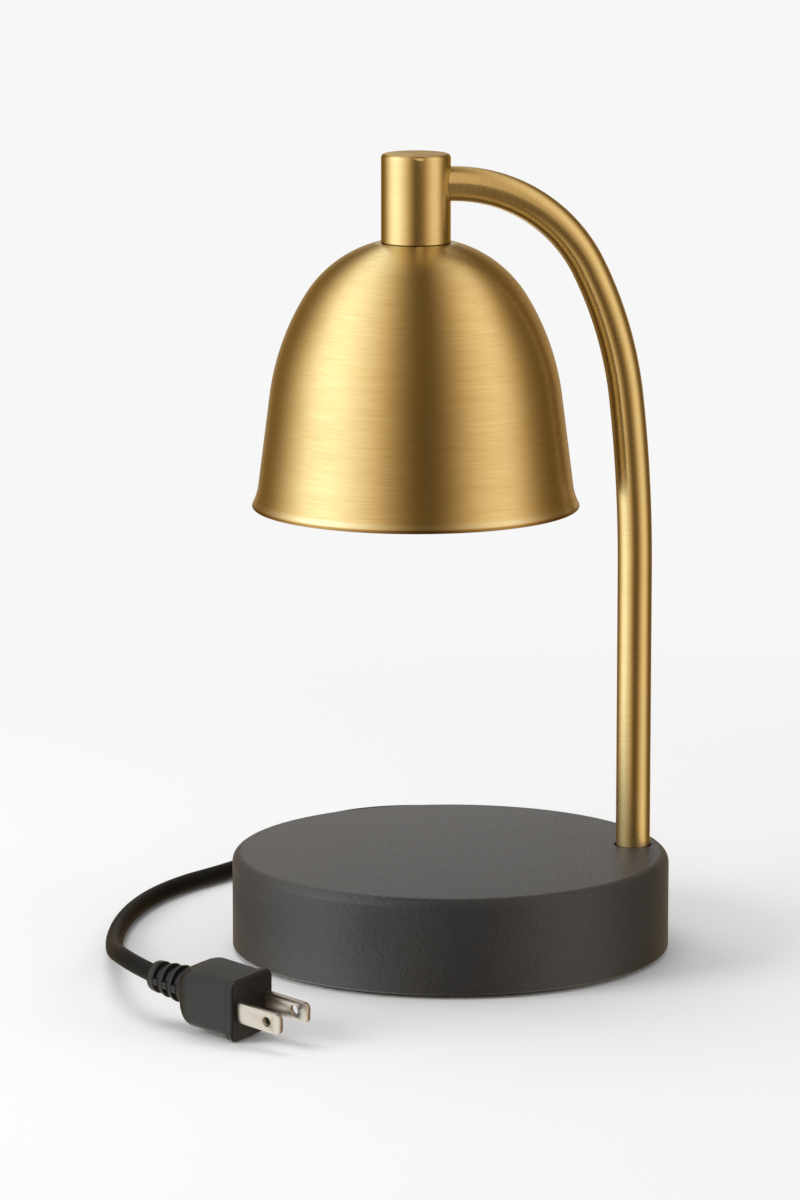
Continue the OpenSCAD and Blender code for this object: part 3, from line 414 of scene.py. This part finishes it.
def brushed_group():
    """Fine lines along one direction, and a slow cloud. Across is the coordinate over
    the lines, and Along the one that changes slowly."""
    sh, given, out = group(
        "brushed_lines",
        [("Along", VECTOR), ("Across", FLOAT), ("Lines", FLOAT)],
        [("Line", FLOAT), ("Cloud", FLOAT)],
    )
    x, y, _ = sh.split(given.outputs["Along"])
    across = given.outputs["Across"]
    layers = []
    for fineness, stretch, share in ((1.0, 3.6, 0.5), (0.31, 1.8, 0.2), (2.3, 9.0, 0.3)):
        over = sh.math("MULTIPLY", across, sh.math("MULTIPLY", given.outputs["Lines"], fineness))
        place = sh.join(sh.math("MULTIPLY", x, stretch), sh.math("MULTIPLY", y, stretch), over)
        layers.append(sh.math("MULTIPLY", sh.noise(place, 1.0, 1.0), share))
    total = sh.math("ADD", sh.math("ADD", layers[0], layers[1]), layers[2])
    slow = sh.join(x, y, sh.math("MULTIPLY", across, 60.0))
    sh.feed(out.inputs["Line"], total)
    sh.feed(out.inputs["Cloud"], sh.noise(slow, 1.6, 3.0))
    return sh.tree


def grain_group():
    """Powder-coat grain: small soft pits in two sizes, and a slow cloud."""
    sh, given, out = group(
        "coat_grain",
        [("Vector", VECTOR), ("Size", FLOAT)],
        [("Pit", FLOAT), ("Cloud", FLOAT), ("Height", FLOAT)],
    )
    vector, size = given.outputs["Vector"], given.outputs["Size"]
    fine = sh.noise(vector, size, 2.0, 0.55, 0.4)
    coarse = sh.noise(vector, sh.math("MULTIPLY", size, 0.55), 1.0, 0.5, 0.6)
    cloud = sh.noise(vector, sh.math("MULTIPLY", size, 0.03), 3.0)
    sh.feed(out.inputs["Pit"], fine)
    sh.feed(out.inputs["Cloud"], cloud)
    height = sh.math("ADD", sh.math("MULTIPLY", fine, 0.6), sh.math("MULTIPLY", coarse, 0.4))
    sh.feed(out.inputs["Height"], height)
    return sh.tree


BRUSHED = brushed_group()
GRAIN = grain_group()


# ---- brass ----

BRASS_PALE = (0.95, 0.78, 0.44)
BRASS_DEEP = (0.76, 0.57, 0.26)
BRASS_DIMMED_IN_REFLECTIONS = (0.5, 0.41, 0.25)         # painted shade: the brass as other brass reflects it, made dimmer so that it doesn't turn orange
# Painted highlight along the rim's upper turn, and painted shade below it
RIM_PAINTED_HIGHLIGHT, RIM_PAINTED_SHADE = (1.0, 0.9, 0.62), (0.42, 0.26, 0.1)
# Painted shade on the cup's flat top
CUP_TOP_PAINTED_SHADE = (0.4, 0.22, 0.07)
CUP_TINT = (1.0, 0.84, 0.5, 1)         # where it is seen nearly edge-on
# Painted shade for the thin gaps at the cup
SEAM_PAINTED_SHADE = (0.07, 0.04, 0.015)
SEAM = 0.3 * MM
LINES = 3400.0                         # brush lines to the metre
TUBE_CLOUDS = 18                       # to the metre


def painted_seam_shade(sh, place, from_axis):
    """Painted shade in the thin gaps where the tube enters the cup and the cup meets the shade."""
    rise = sh.math("SUBTRACT", place[2], ARM_TOP_Z)
    squares = sh.math("ADD", sh.math("MULTIPLY", rise, rise), sh.math("MULTIPLY", place[1], place[1]))
    port = sh.near(sh.math("SQRT", squares), ARM_R + SEAM / 2, 0.48 * SEAM)
    port = sh.math("MULTIPLY", port, sh.math("LESS_THAN", place[0], AXIS_X + CUP_R))
    port = sh.math("MULTIPLY", port, sh.math("GREATER_THAN", place[0], AXIS_X))
    foot = sh.near(place[2], CUP_Z + 0.3 * SEAM, 0.6 * SEAM)
    foot = sh.math("MULTIPLY", foot, sh.math("LESS_THAN", sh.vector("LENGTH", from_axis), CUP_R + SEAM))
    return sh.math("MAXIMUM", port, foot)


def cup_top_painted_shade(sh, place):
    """Painted shade on the cup's flat top, stronger towards the tube."""
    across = sh.span(place[0], AXIS_X - CUP_R, AXIS_X + CUP_R, 0.25, 1.0)
    return sh.math("MULTIPLY", sh.math("GREATER_THAN", place[2], CUP_HI.z - 0.1 * MM), across)


def rim_painted_light(sh, tone, down):
    """Paints a highlight along the rounded rim's upper turn, and paints shade below it. Down is how far past
    the end of the outer face a point lies."""
    lip = sh.math("MULTIPLY", sh.step(down, -2.7 * MM, -1.5 * MM), sh.step(down, -0.25 * MM, -0.8 * MM))
    tone = sh.mix(sh.math("MULTIPLY", lip, 0.7), tone, RIM_PAINTED_HIGHLIGHT)
    return sh.mix(sh.step(down, -0.5 * MM, 0.1 * MM), tone, RIM_PAINTED_SHADE)


def brass(name, rough, anisotropy, contrast, turned=None, rim=None):
    """Brushed and lacquered brass, with its gloss drawn out across the lines. They run
    round a tube, or round the shade's axis when turned says how fast they change on
    the way round. Rim is the value of 'along' at the end of the bell's outer face."""
    mat, sh, bsdf = material(name, Metallic=1.0, Anisotropic=anisotropy, Anisotropic_Rotation=0.25)
    along = sh.node("ShaderNodeAttribute", attribute_name="along").outputs["Fac"]
    coords = sh.coords()
    from_axis = sh.vector("MULTIPLY", sh.vector("SUBTRACT", coords, (AXIS_X, 0, 0)), (1, 1, 0))
    if turned:
        way = sh.scaled(sh.vector("NORMALIZE", from_axis), turned)
    else:
        way = sh.scaled(coords, TUBE_CLOUDS)
        tangent = sh.node("ShaderNodeTangent", direction_type="UV_MAP", uv_map="UVMap").outputs[0]
        sh.feed(bsdf.inputs["Tangent"], tangent)
    brushed = sh.node("ShaderNodeGroup", {"Along": way, "Across": along, "Lines": LINES}, node_tree=BRUSHED)
    line, cloud = brushed.outputs["Line"], brushed.outputs["Cloud"]
    tone = sh.mix(sh.span(line, 0.36, 0.64, 0.5 - contrast / 2, 0.5 + contrast / 2), BRASS_DEEP, BRASS_PALE)
    tone = sh.mix(0.4, tone, sh.mix(cloud, BRASS_DEEP, BRASS_PALE))
    # Painted highlight and painted shade on the bell's rim
    if rim:
        tone = rim_painted_light(sh, tone, sh.math("SUBTRACT", along, rim))
    place = sh.split(coords)
    # Painted shade in the gaps where the tube enters the cup and the cup meets the shade
    tone = sh.mix(painted_seam_shade(sh, place, from_axis), tone, SEAM_PAINTED_SHADE)
    # Painted shade on the cup's flat top
    tone = sh.mix(cup_top_painted_shade(sh, place), tone, CUP_TOP_PAINTED_SHADE)
    # Painted shade: dimmer brass where other brass reflects it
    sh.feed(bsdf.inputs["Base Color"], sh.mix(sh.ray("Glossy"), tone, BRASS_DIMMED_IN_REFLECTIONS))
    sh.feed(bsdf.inputs["Roughness"], sh.span(line, 0.3, 0.7, rough + 0.04, rough - 0.04))
    sh.feed(bsdf.inputs["Normal"], sh.bump(0.012, 0.02, line))
    return mat


# ---- the other finishes ----

def grain_it(sh, bsdf, grain, tones, roughs, strength, depth):
    """Feeds a material's colour, roughness and bumps from the grain, between two values."""
    pits = sh.node("ShaderNodeGroup", {"Vector": sh.coords(), "Size": grain}, node_tree=GRAIN).outputs
    sh.feed(bsdf.inputs["Base Color"], sh.mix(pits["Cloud"], *tones))
    sh.feed(bsdf.inputs["Roughness"], sh.span(pits["Pit"], 0.3, 0.7, *roughs))
    sh.feed(bsdf.inputs["Normal"], sh.bump(strength, depth, pits["Height"]))


def shaded(colour, share):
    """A colour at a share of its brightness."""
    return tuple(c * share for c in colour)


def grained(name, colour, grain, rough, strength, depth, specular=0.5, sheen=0.0, tint=(0.88, 1.0, 1.3)):
    """A matt or satin surface with a grain of so many pits to the metre."""
    mat, sh, bsdf = material(
        name, Sheen_Weight=sheen, Sheen_Roughness=0.4, Specular_IOR_Level=specular, Specular_Tint=(*tint, 1)
    )
    tones = shaded(colour, 0.82), shaded(colour, 1.2)
    grain_it(sh, bsdf, grain, tones, (rough - 0.06, rough + 0.06), strength, depth)
    return mat


def plain_metal(name, colour, rough, grain=2500.0, strength=0.06):
    """Small metal parts: plated or turned, with a faint uneven sheen."""
    mat, sh, bsdf = material(name, Metallic=1.0)
    grain_it(sh, bsdf, grain, (shaded(colour, 0.85), colour), (rough - 0.05, rough + 0.08), strength, 0.03)
    return mat


def thin_glass(name, colour, rough, alpha):
    """Thin glass, drawn as a faint shine over what lies behind it."""
    return material(name, Base_Color=(*colour, 1), Roughness=rough, IOR=1.47, Alpha=alpha)[0]


COAT = grained(
    "charcoal_coat", (0.0212, 0.0217, 0.0232), 1050.0, 0.4, strength=0.9, depth=0.26, specular=0.75,
    sheen=0.06, tint=(0.94, 1.0, 1.16),
)
PLUG = grained(
    "plug_plastic", (0.0105, 0.0105, 0.0108), 2600.0, 0.36, strength=0.25, depth=0.06, specular=0.36,
    tint=(0.95, 1.0, 1.12),
)
RUBBER = grained(
    "cord_rubber", (0.0036, 0.0037, 0.0041), 1800.0, 0.52, strength=0.3, depth=0.06, specular=0.2
)
STRAP = grained("strap_fabric", (0.012, 0.012, 0.013), 1400.0, 0.9, strength=0.8, depth=0.3, specular=0.2)
PAD = grained("foot_foam", (0.012, 0.012, 0.012), 1600.0, 0.85, strength=0.5, depth=0.2)
KNOB = grained("knob_plastic", (0.02, 0.02, 0.021), 2200.0, 0.5, strength=0.25, depth=0.05)
CERAMIC = grained("ceramic", (0.76, 0.73, 0.67), 900.0, 0.3, strength=0.06, depth=0.05)
IRON = grained("cast_iron", (0.06, 0.06, 0.062), 700.0, 0.6, strength=0.5, depth=0.2)
BOARD = grained("solder_mask", (0.02, 0.12, 0.05), 1500.0, 0.35, strength=0.1, depth=0.03)
CASES = grained("part_cases", (0.5, 0.34, 0.05), 1500.0, 0.4, strength=0.1, depth=0.03)
SLEEVE = grained("wire_sleeve", (0.75, 0.74, 0.7), 2000.0, 0.5, strength=0.1, depth=0.03)
STEEL = plain_metal("zinc_steel", (0.62, 0.63, 0.64), 0.32)
NICKEL = plain_metal("nickel", (0.62, 0.58, 0.56), 0.34)
PLAIN_BRASS = plain_metal("turned_brass", (0.8, 0.6, 0.28), 0.3)
MIRROR_GLASS = plain_metal("mirror_glass", (0.9, 0.9, 0.9), 0.2, grain=1500.0, strength=0.1)
GLASS = thin_glass("clear_glass", (0.9, 0.93, 0.93), rough=0.08, alpha=0.22)


# ---- bell ----

def bell_skin(d):
    """Half section of the bell's skin, d inside its outer face, in millimetres."""
    slope = SHADE_START_A
    s = radians(slope)
    points = [(SHADE_TOP_R_MM - d * sin(s), CUP_Z / MM - d * cos(s))]
    for r, turn in SHADE_ARCS:
        points += chain_arc(points[-1], slope, r - d, turn, 24)
        slope += turn
    r, z = points[-1]
    s = radians(slope)
    points += [(r + SKIRT_MM * cos(s) * i / 6, z - SKIRT_MM * sin(s) * i / 6) for i in range(1, 7)]
    points += chain_arc(points[-1], slope, FLARE[0] + d, FLARE[1], 10)
    return points


def bell_section():
    """The whole half section, down the outer face, round the rim and up inside."""
    outer, inner = bell_skin(0), bell_skin(SHADE_T_MM)
    a, b = outer[-1], inner[-1]
    start = degrees(atan2(a[1] - b[1], a[0] - b[0]))
    rim = arc((a[0] + b[0]) / 2, (a[1] + b[1]) / 2, SHADE_T_MM / 2, start, start - 180, 12)[1:-1]
    top = CUP_Z / MM
    flat = SHADE_TOP_R_MM * CROWN_FLAT
    under = [(flat, top - SHADE_T_MM), (0, top - SHADE_T_MM)]
    points = [(0, top), (flat, top), *outer, *rim, *reversed(inner), *under]
    return [(r * MM, z * MM) for r, z in points]


def bell_rim():
    """Length along the bell's section from its axis to the end of its outer face."""
    outer = [(0, CUP_Z / MM), *bell_skin(0)]
    return MM * sum(hypot(b[0] - a[0], b[1] - a[1]) for a, b in zip(outer, outer[1:]))


BELL_BRASS = brass(
    "brass_shade", rough=0.3, anisotropy=0.7, contrast=1.0, turned=1.0, rim=bell_rim()
)
bell = spun("bell", bell_section(), BELL_BRASS, steps=160)
put(bell, "base", "brass_finish", "shade")


# ---- cup ----

def cup_section():
    """Outer half section of the cup: flat ends, a small chamfer below and a
    rounded edge on top."""
    top = CUP_Z + CUP_H
    low = CUP_Z + CUP_EASE
    side = CUP_H - CUP_EASE - CUP_EDGE
    section = [(0, CUP_Z), (CUP_R - 3 * CUP_EASE, CUP_Z), (CUP_R - CUP_EASE, CUP_Z), (CUP_R, low)]
    section += [(CUP_R, low + side * i / 12) for i in range(1, 12)]
    section += arc(CUP_R - CUP_EDGE, top - CUP_EDGE, CUP_EDGE, 0, 90, 8)
    section += [(CUP_R - 2 * CUP_EDGE, top), (0, top)]
    return section


CUP_BRASS = brass("brass_cup", rough=0.25, anisotropy=0.6, contrast=0.4, turned=0.25)
CUP_BRASS.node_tree.nodes["Principled BSDF"].inputs["Specular Tint"].default_value = CUP_TINT
cup = spun("cup", cup_section(), CUP_BRASS, steps=96)
put(cup, "base", "brass_finish", "socket_cup")


# ---- bent tube ----

def arm_path():
    """Centre line of the tube: the post, three tangent bends and the level stub."""
    x, z, heading = POST_X, POST_TOP, 0.0
    low = ARM_LO.z
    path = [Vector((x, 0, low + (z - low) * i / 24)) for i in range(25)]
    for r, turn in BENDS:
        steps = max(8, int(turn * 0.8), int(r / MM * radians(turn) / 4))
        h = radians(heading)
        for i in range(1, steps + 1):
            k = radians(heading + turn * i / steps)
            path.append(Vector((x - r * (cos(h) - cos(k)), 0, z + r * (sin(k) - sin(h)))))
        heading += turn
        x, z = path[-1].x, path[-1].z
    return path + [Vector((AXIS_X + CUP_R - ARM_IN_CUP, 0, z))]


TUBE_BRASS = brass("brass_tube", rough=0.28, anisotropy=0.6, contrast=0.25)
bent_tube = tube("bent_tube", arm_path(), ARM_R, TUBE_BRASS, sides=48, side=Vector((0, 1, 0)))
put(bent_tube, "base", "brass_finish", "arm_tube")


# ---- mains lead ----

def plug_turn():
    """The plug's turn on the table, as a matrix."""
    roll, pitch, yaw = (radians(a) for a in PLUG_TURNS)
    return Matrix.Rotation(yaw, 4, "Z") @ Matrix.Rotation(pitch, 4, "Y") @ Matrix.Rotation(roll, 4, "X")


def coil_point(s):
    """A point of the coil, s turns from its inmost one, where it climbs."""
    a = radians(COIL_START_AZ + 360 * (s + COIL_TURNS / 2))
    r = COIL_R_MM + COIL_STEP_MM * abs(s)
    layer = max(0, min(1, 0.5 + 2 * s))
    return Vector((COIL_AT[0] + r * cos(a), COIL_AT[1] + r * sin(a), COIL_LOW_MM + COIL_STEP_MM * layer))


def coil_way(s):
    """The way of the coil at that point."""
    return (coil_point(s + 0.001) - coil_point(s - 0.001)).normalized()


def lead_route():
    """The lead's middle line from the outlet to the plug: down to the table, a flat
    tied coil, and round the left of the base."""
    outlet = Vector((45.0, 77.942, 10.0))
    down = [
        (48.6, 84.2, 9.2), (52.2, 90.2, 7), (54.8, 96.6, 4.6), (56.4, 103.4, 3.2), (56.6, 110.6, 2.9),
        (55.2, 117.8, 2.9), (52, 124.6, 3), (47.6, 130.2, 3.2),
    ]
    across = [
        (-30.2, 136.4, 8), (-38.4, 128.4, 6), (-46.4, 119.6, 4), (-54, 110.4, 2.9), (-61.2, 102.2, 2.8),
        (-68.2, 95.2, 2.8), (-74.8, 88.8, 2.8), (-81, 81.4, 2.8), (-86.6, 73.4, 2.8), (-91.6, 64.6, 2.8),
        (-95.8, 55.4, 2.8), (-99.4, 45.6, 2.8), (-102.6, 35, 2.8), (-105, 24.4, 2.9), (-106.9, 13.2, 3.4),
        (-108.3, 1.6, 4.4), (-109.4, -10.2, 5.9), (-110.3, -22.2, 7.9), (-110.9, -34.2, 10.1),
        (-111, -46, 12.2), (-110.2, -57.4, 13.7), (-107.8, -68.2, 14.2),
    ]
    half = COIL_TURNS / 2
    steps = round(COIL_TURNS * COIL_RINGS)
    turns = [coil_point(COIL_TURNS * i / steps - half) for i in range(steps + 1)]
    before = turns[0] - coil_way(-half) * 2 * CORD_R_MM
    after = turns[-1] + coil_way(half) * 2 * CORD_R_MM
    tail_end = Vector(PLUG_AT) + plug_turn() @ Vector((-PLUG_LENGTH - PLUG_TAIL, 0, 0))
    points = [outlet, *map(Vector, down), before, *turns, after, *map(Vector, across), tail_end]
    return [p * MM for p in smoothed(points, 3)]


LEAD = lead_route()
lead = tube("mains_lead", LEAD, CORD_R_MM * MM, RUBBER, sides=20)
put(lead, "base", "cord_rubber", "cord_exit", "cord_coil", "cord_lead")
dress("cord_relief", RUBBER)
soften("cord_relief")


def tie_rings():
    """Rings of the strap that runs once round the coil, close to its turns."""
    a = radians(TIE_AZ)
    out, across, up = Vector((cos(a), sin(a), 0)), Vector((-sin(a), cos(a), 0)), Vector((0, 0, 1))
    bends = []
    for i, here in enumerate(TIED_TURNS):
        last, after = TIED_TURNS[i - 1], TIED_TURNS[(i + 1) % len(TIED_TURNS)]
        start = atan2(here[1] - last[1], here[0] - last[0]) - pi / 2
        end = atan2(after[1] - here[1], after[0] - here[0]) - pi / 2
        end += tau * (end < start - 1e-6)
        bends += [(*here, start + (end - start) * k / 7) for k in range(8)]
    half = TIE_HALF_MM
    section = [(TIE_OUT_MM, -half), (TIE_OUT_MM, half), (TIE_IN_MM, half), (TIE_IN_MM, -half)]
    rings = []
    for r, z, k in [*bends, bends[0]]:
        middle = Vector((*COIL_AT, 0)) + out * r + up * z
        off = out * cos(k) + up * sin(k)
        rings.append([(middle + off * depth + across * side) * MM for depth, side in section])
    return rings


tie = put(skin("tie_strap", tie_rings(), STRAP, loop=True), "base", "tie_fabric", "cord_tie")


# ---- plug ----

def on_plug(rings):
    """Carries rings from the plug's own axes, in millimetres, to their place."""
    at = Matrix.Translation(Vector(PLUG_AT) * MM) @ plug_turn() @ Matrix.Scale(MM, 4)
    return [[at @ Vector(point) for point in ring] for ring in rings]


def rounded(x, w, h, r, count=64):
    """A rectangle with round corners, across the plug at x."""
    ring = []
    for i in range(count):
        k = tau * (i + 0.5) / count
        y = (w / 2 - r) * (1 if cos(k) > 0 else -1)
        z = (h / 2 - r) * (1 if sin(k) > 0 else -1)
        ring.append((x, y + r * cos(k), z + r * sin(k)))
    return ring


def plug_rings():
    """From the front face with its lip, back over the rounded shoulders."""
    front = [(0.0, -0.5), (-0.15, -0.2), (-0.5, 0.0), (-2.5, 0.0), (-2.85, -0.15)]
    front += [(-3.0, -PLUG_LIP), (-3.2, -PLUG_LIP)]
    rings = [rounded(x, PLUG_WIDTH + 2 * grow, PLUG_HEIGHT + 2 * grow, PLUG_CORNER) for x, grow in front]
    width, height = PLUG_WIDTH - 2 * PLUG_LIP, PLUG_HEIGHT - 2 * PLUG_LIP
    rings.append(rounded(-PLUG_LENGTH + PLUG_BACK + 3, width, height, PLUG_CORNER))
    for i in range(15):
        k = radians(90 * i / 14)
        less = 2 * PLUG_BACK * (1 - cos(k)) * 0.92
        w, h = width - less, height - less
        corner = min(PLUG_CORNER + 3.2 * i / 14, w / 2 - 0.05, h / 2 - 0.05)
        rings.append(rounded(-PLUG_LENGTH + PLUG_BACK * (1 - sin(k)), w, h, corner))
    return on_plug(rings)


def tail_rings():
    """The ribbed tail: three grooves with a bar left on each side."""
    start, end = PLUG_LENGTH - 3.0, PLUG_LENGTH + PLUG_TAIL
    root, tip = CORD_R_MM + 3.2, CORD_R_MM + 2.0
    step = (end - start - 4) / TAIL_RIBS
    stations = [(start, root, 0)]
    for i in range(TAIL_RIBS):
        x = start + 3.0 + i * step
        back = x + step / 2
        r = root + (tip - root) * (i + 0.5) / TAIL_RIBS
        floor = r - TAIL_GROOVE
        stations += [(x - 0.3, r, 0), (x - 0.05, r - 0.15, 0), (x + 0.1, floor, TAIL_GROOVE)]
        stations += [(back - 0.1, floor, TAIL_GROOVE), (back + 0.05, r - 0.15, 0), (back + 0.3, r, 0)]
    stations += [(end - 0.7, tip, 0), (end - 0.25, tip - 0.2, 0), (end, tip - 0.6, 0)]
    rings = []
    for x, r, deep in stations:
        ring = []
        for k in range(96):
            a = tau * k / 96
            from_side = abs(degrees(asin(sin(a))))
            bar = deep * max(0.0, min(1.0, (BAR_EDGE - from_side) / BAR_EASE))
            ring.append((-x, (r + bar) * cos(a), (r + bar) * sin(a)))
        rings.append(ring)
    return on_plug(rings)


plug = put(skin("plug_shell", plug_rings(), PLUG), "base", "plug_plastic", "plug_body")
tail = put(skin("plug_tail", tail_rings(), PLUG, sharp=50), "base", "plug_plastic")
dress("plug_blades", NICKEL)
soften("plug_blades", 0.28 * MM)


# ---- the rest in its finishes ----

FINISHES = [
    (COAT, ("base_shell",)),
    (PAD, ("foot_pad",)),
    (RUBBER, ("cord_inner",)),
    (KNOB, ("dimmer_knob", "dimmer_body")),
    (NICKEL, ("bulb_pins",)),
    (STEEL, (
        "bottom_cover", "cover_screws", "arm_stud", "arm_washer", "arm_nut", "shade_washer", "shade_nut",
        "holder_strap", "holder_screws", "dimmer_spindle", "dimmer_nut", "cord_clamp", "clamp_screws",
    )),
    (IRON, ("base_weight",)),
    (BOARD, ("dimmer_board",)),
    (CASES, ("board_parts",)),
    (SLEEVE, ("arm_wires", "cord_cores")),
    (PLAIN_BRASS, ("shade_nipple", "holder_contacts")),
    (CERAMIC, ("lamp_holder", "bulb_base")),
    (MIRROR_GLASS, ("bulb_reflector",)),
    (GLASS, ("bulb_lens", "bulb_capsule")),
]
for finish, nodes in FINISHES:
    for node in nodes:
        dress(node, finish)
        soften(node)


# ---- floor ----

BACKDROP = (0.93, 0.93, 0.93)
FLOOR_HALF = 6.0              # half the floor's side
FLOOR_DROP = 0.2 * MM         # keeps it clear of what stands on it
FADE = (0.22, 0.6)            # how far from the lamp it fades to the backdrop


def add_floor():
    """Pale ground; shiny surfaces look past it to the room."""
    bm = bmesh.new()
    bmesh.ops.create_grid(bm, x_segments=1, y_segments=1, size=FLOOR_HALF)
    mat, sh, bsdf = material("floor", Base_Color=(0.8, 0.8, 0.8, 1), Roughness=0.9, Specular_IOR_Level=0.1)
    floor = finish_mesh("floor", bm, mat)
    floor.data.transform(Matrix.Translation((0, 0, -FLOOR_DROP)))
    fade = sh.step(sh.vector("LENGTH", sh.coords()), *FADE)
    glow = sh.node("ShaderNodeEmission", {"Color": (*BACKDROP, 1), "Strength": 1.0}).outputs[0]
    clear = sh.node("ShaderNodeBsdfTransparent").outputs[0]
    ground = sh.either(fade, bsdf.outputs[0], glow)
    surface = mat.node_tree.nodes["Material Output"].inputs["Surface"]
    sh.feed(surface, sh.either(sh.ray("Glossy"), ground, clear))


# ---- lamps of the studio ----

def add_softbox(name, azimuth, elevation, distance, width, height, power, aim=(0, 0, 0.14)):
    """A soft lamp, its azimuth from the camera's, that shows in no shiny surface."""
    data = bpy.data.lights.new(name, "AREA")
    data.shape = "RECTANGLE"
    data.size, data.size_y = width, height
    data.energy = power
    data.use_shadow = True
    lamp = link(bpy.data.objects.new(name, data))
    a, e = radians(CAMERA_AZ + azimuth), radians(elevation)
    way = Vector((cos(a) * cos(e), sin(a) * cos(e), sin(e)))
    lamp.location = Vector(aim) + way * distance
    lamp.rotation_euler = way.to_track_quat("Z", "Y").to_euler()
    lamp.visible_glossy = False
    return lamp


def add_arm_light():
    """A soft lamp for the tube and the cup alone: the line of light on the level part."""
    lamp = add_softbox("arm_kicker", 14, 47, 1.2, 0.45, 1.95, 1.8, aim=(0.02, 0, 0.24))
    lamp.visible_glossy = True
    lamp.data.color = (1.0, 0.84, 0.58)
    lit = bpy.data.collections.new("tube_and_cup")
    for piece in (bent_tube, cup):
        lit.objects.link(piece)
    lamp.light_linking.receiver_collection = lit


# ---- the room round the lamp ----

# Brightness of the room as the metal sees it, by the angle from the camera:
# below zero is the left of the picture
ROOM = [
    (-180, 0.3), (-150, 0.14), (-124, 0.2), (-103, 0.85), (-86, 1.35), (-66, 1.45), (-51, 1.15), (-36, 0.92),
    (-20, 0.46), (-4, 0.09), (16, 0.06), (32, 0.36), (50, 0.84), (72, 1.02), (88, 0.62), (104, 0.18),
    (130, 0.07), (150, 0.28), (166, 0.36), (180, 0.3),
]
RAMP_TOP = 2.0                # a ramp holds no more than 1, so the room is kept at a half in it
# Share of it by the rise of the surface that shows it
RISE = [(0.0, 0.95), (0.34, 1.05), (0.6, 1.0), (0.82, 0.88), (1.0, 0.8)]
# Green and blue against red at a brightness: dim parts are brown, bright ones white
TINTS = [
    (0.1, 0.6, 0.12), (0.25, 0.63, 0.24), (0.4, 0.67, 0.33), (0.7, 0.75, 0.45), (0.9, 0.84, 0.58),
    (1.15, 0.96, 0.84), (1.4, 1.02, 0.94),
]
LEVEL = (0.6, 0.6, 0.6)       # what level surfaces show
BEHIND = (0.42, 0.3, 0.17)    # straight behind the lamp
EVEN = (0.62, 0.62, 0.62)     # what lights matt surfaces


def tinted(v):
    """The room's colour at brightness v."""
    low = TINTS[0]
    for high in TINTS:
        if v <= high[0]:
            break
        low = high
    part = 0 if high[0] == low[0] else max(0.0, min(1.0, (v - low[0]) / (high[0] - low[0])))
    green, blue = (low[i] + (high[i] - low[i]) * part for i in (1, 2))
    return (v, v * green, v * blue)


def room_ring(sh, x, y, z):
    """The room's bright and dark bands, by the way x, y, z that a mirror faces which
    shows them to the camera."""
    angle = sh.math("DIVIDE", sh.math("ARCTAN2", y, x), pi)
    turn = sh.math("FRACT", sh.math("SUBTRACT", angle, 2 * CAMERA_AZ / 360 - 0.5))
    stops = [((az + 180) / 360, shaded(tinted(v), 1 / RAMP_TOP)) for az, v in ROOM]
    ring = sh.mix(1.0, sh.ramp(turn, stops, "B_SPLINE"), (RAMP_TOP,) * 3, "MULTIPLY")
    rise = sh.ramp(sh.math("ABSOLUTE", z), [(at, (share,) * 3) for at, share in RISE], "EASE")
    return sh.mix(1.0, ring, rise, "MULTIPLY")


def room(sh):
    """What shiny surfaces see: the bands, an even part behind the lamp so that the back of
    the shade shows no line, and an even grey for level surfaces, darker to the right."""
    way = sh.node("ShaderNodeTexCoord").outputs["Generated"]
    a, e = radians(CAMERA_AZ), radians(90 - CAMERA_TILT)
    total = sh.vector("ADD", way, (cos(a) * cos(e), sin(a) * cos(e), sin(e)))
    length = sh.vector("LENGTH", total)
    x, y, z = sh.split(sh.vector("NORMALIZE", total))
    away = sh.vector("DOT_PRODUCT", way, (-cos(a), -sin(a), 0))
    behind = sh.math("MULTIPLY", sh.step(away, 0.93, 0.995), sh.step(z, 0.35, 0.6))
    behind = sh.math("MAXIMUM", sh.math("MULTIPLY", behind, 0.85), sh.step(length, 0.5, 0.24))
    seen = sh.mix(behind, room_ring(sh, x, y, z), BEHIND)
    aside = sh.vector("DOT_PRODUCT", way, (-sin(a), cos(a), 0))
    slope = sh.span(aside, -0.05, 0.05, 1.08, 0.86)
    grey = sh.node("ShaderNodeVectorMath", {0: LEVEL, "Scale": slope}, operation="SCALE").outputs[0]
    level = sh.math("MULTIPLY", sh.step(z, 0.972, 0.992), sh.step(length, 0.18, 0.28))
    return sh.mix(level, seen, grey)


def add_world():
    """Pale surroundings for the camera, an even light for matt surfaces, and for
    shiny ones a soft room with a bright window at each side."""
    world = bpy.data.worlds.new("studio")
    bpy.context.scene.world = world
    world.use_nodes = True
    sh = Shader(world.node_tree)
    back = world.node_tree.nodes["Background"]
    lit = sh.mix(sh.ray("Glossy"), EVEN, room(sh))
    sh.feed(back.inputs["Color"], sh.mix(sh.ray("Camera"), lit, BACKDROP))
    back.inputs["Strength"].default_value = 1.0


bpy.context.scene.view_settings.view_transform = "Standard"
add_world()
add_floor()
add_softbox("left_box", -66, 9, 1.5, 0.8, 1.5, 26)
add_softbox("right_box", 72, 20, 1.7, 0.6, 1.3, 4)
add_softbox("top_box", -150, 70, 1.6, 1.0, 1.0, 10)
add_arm_light()
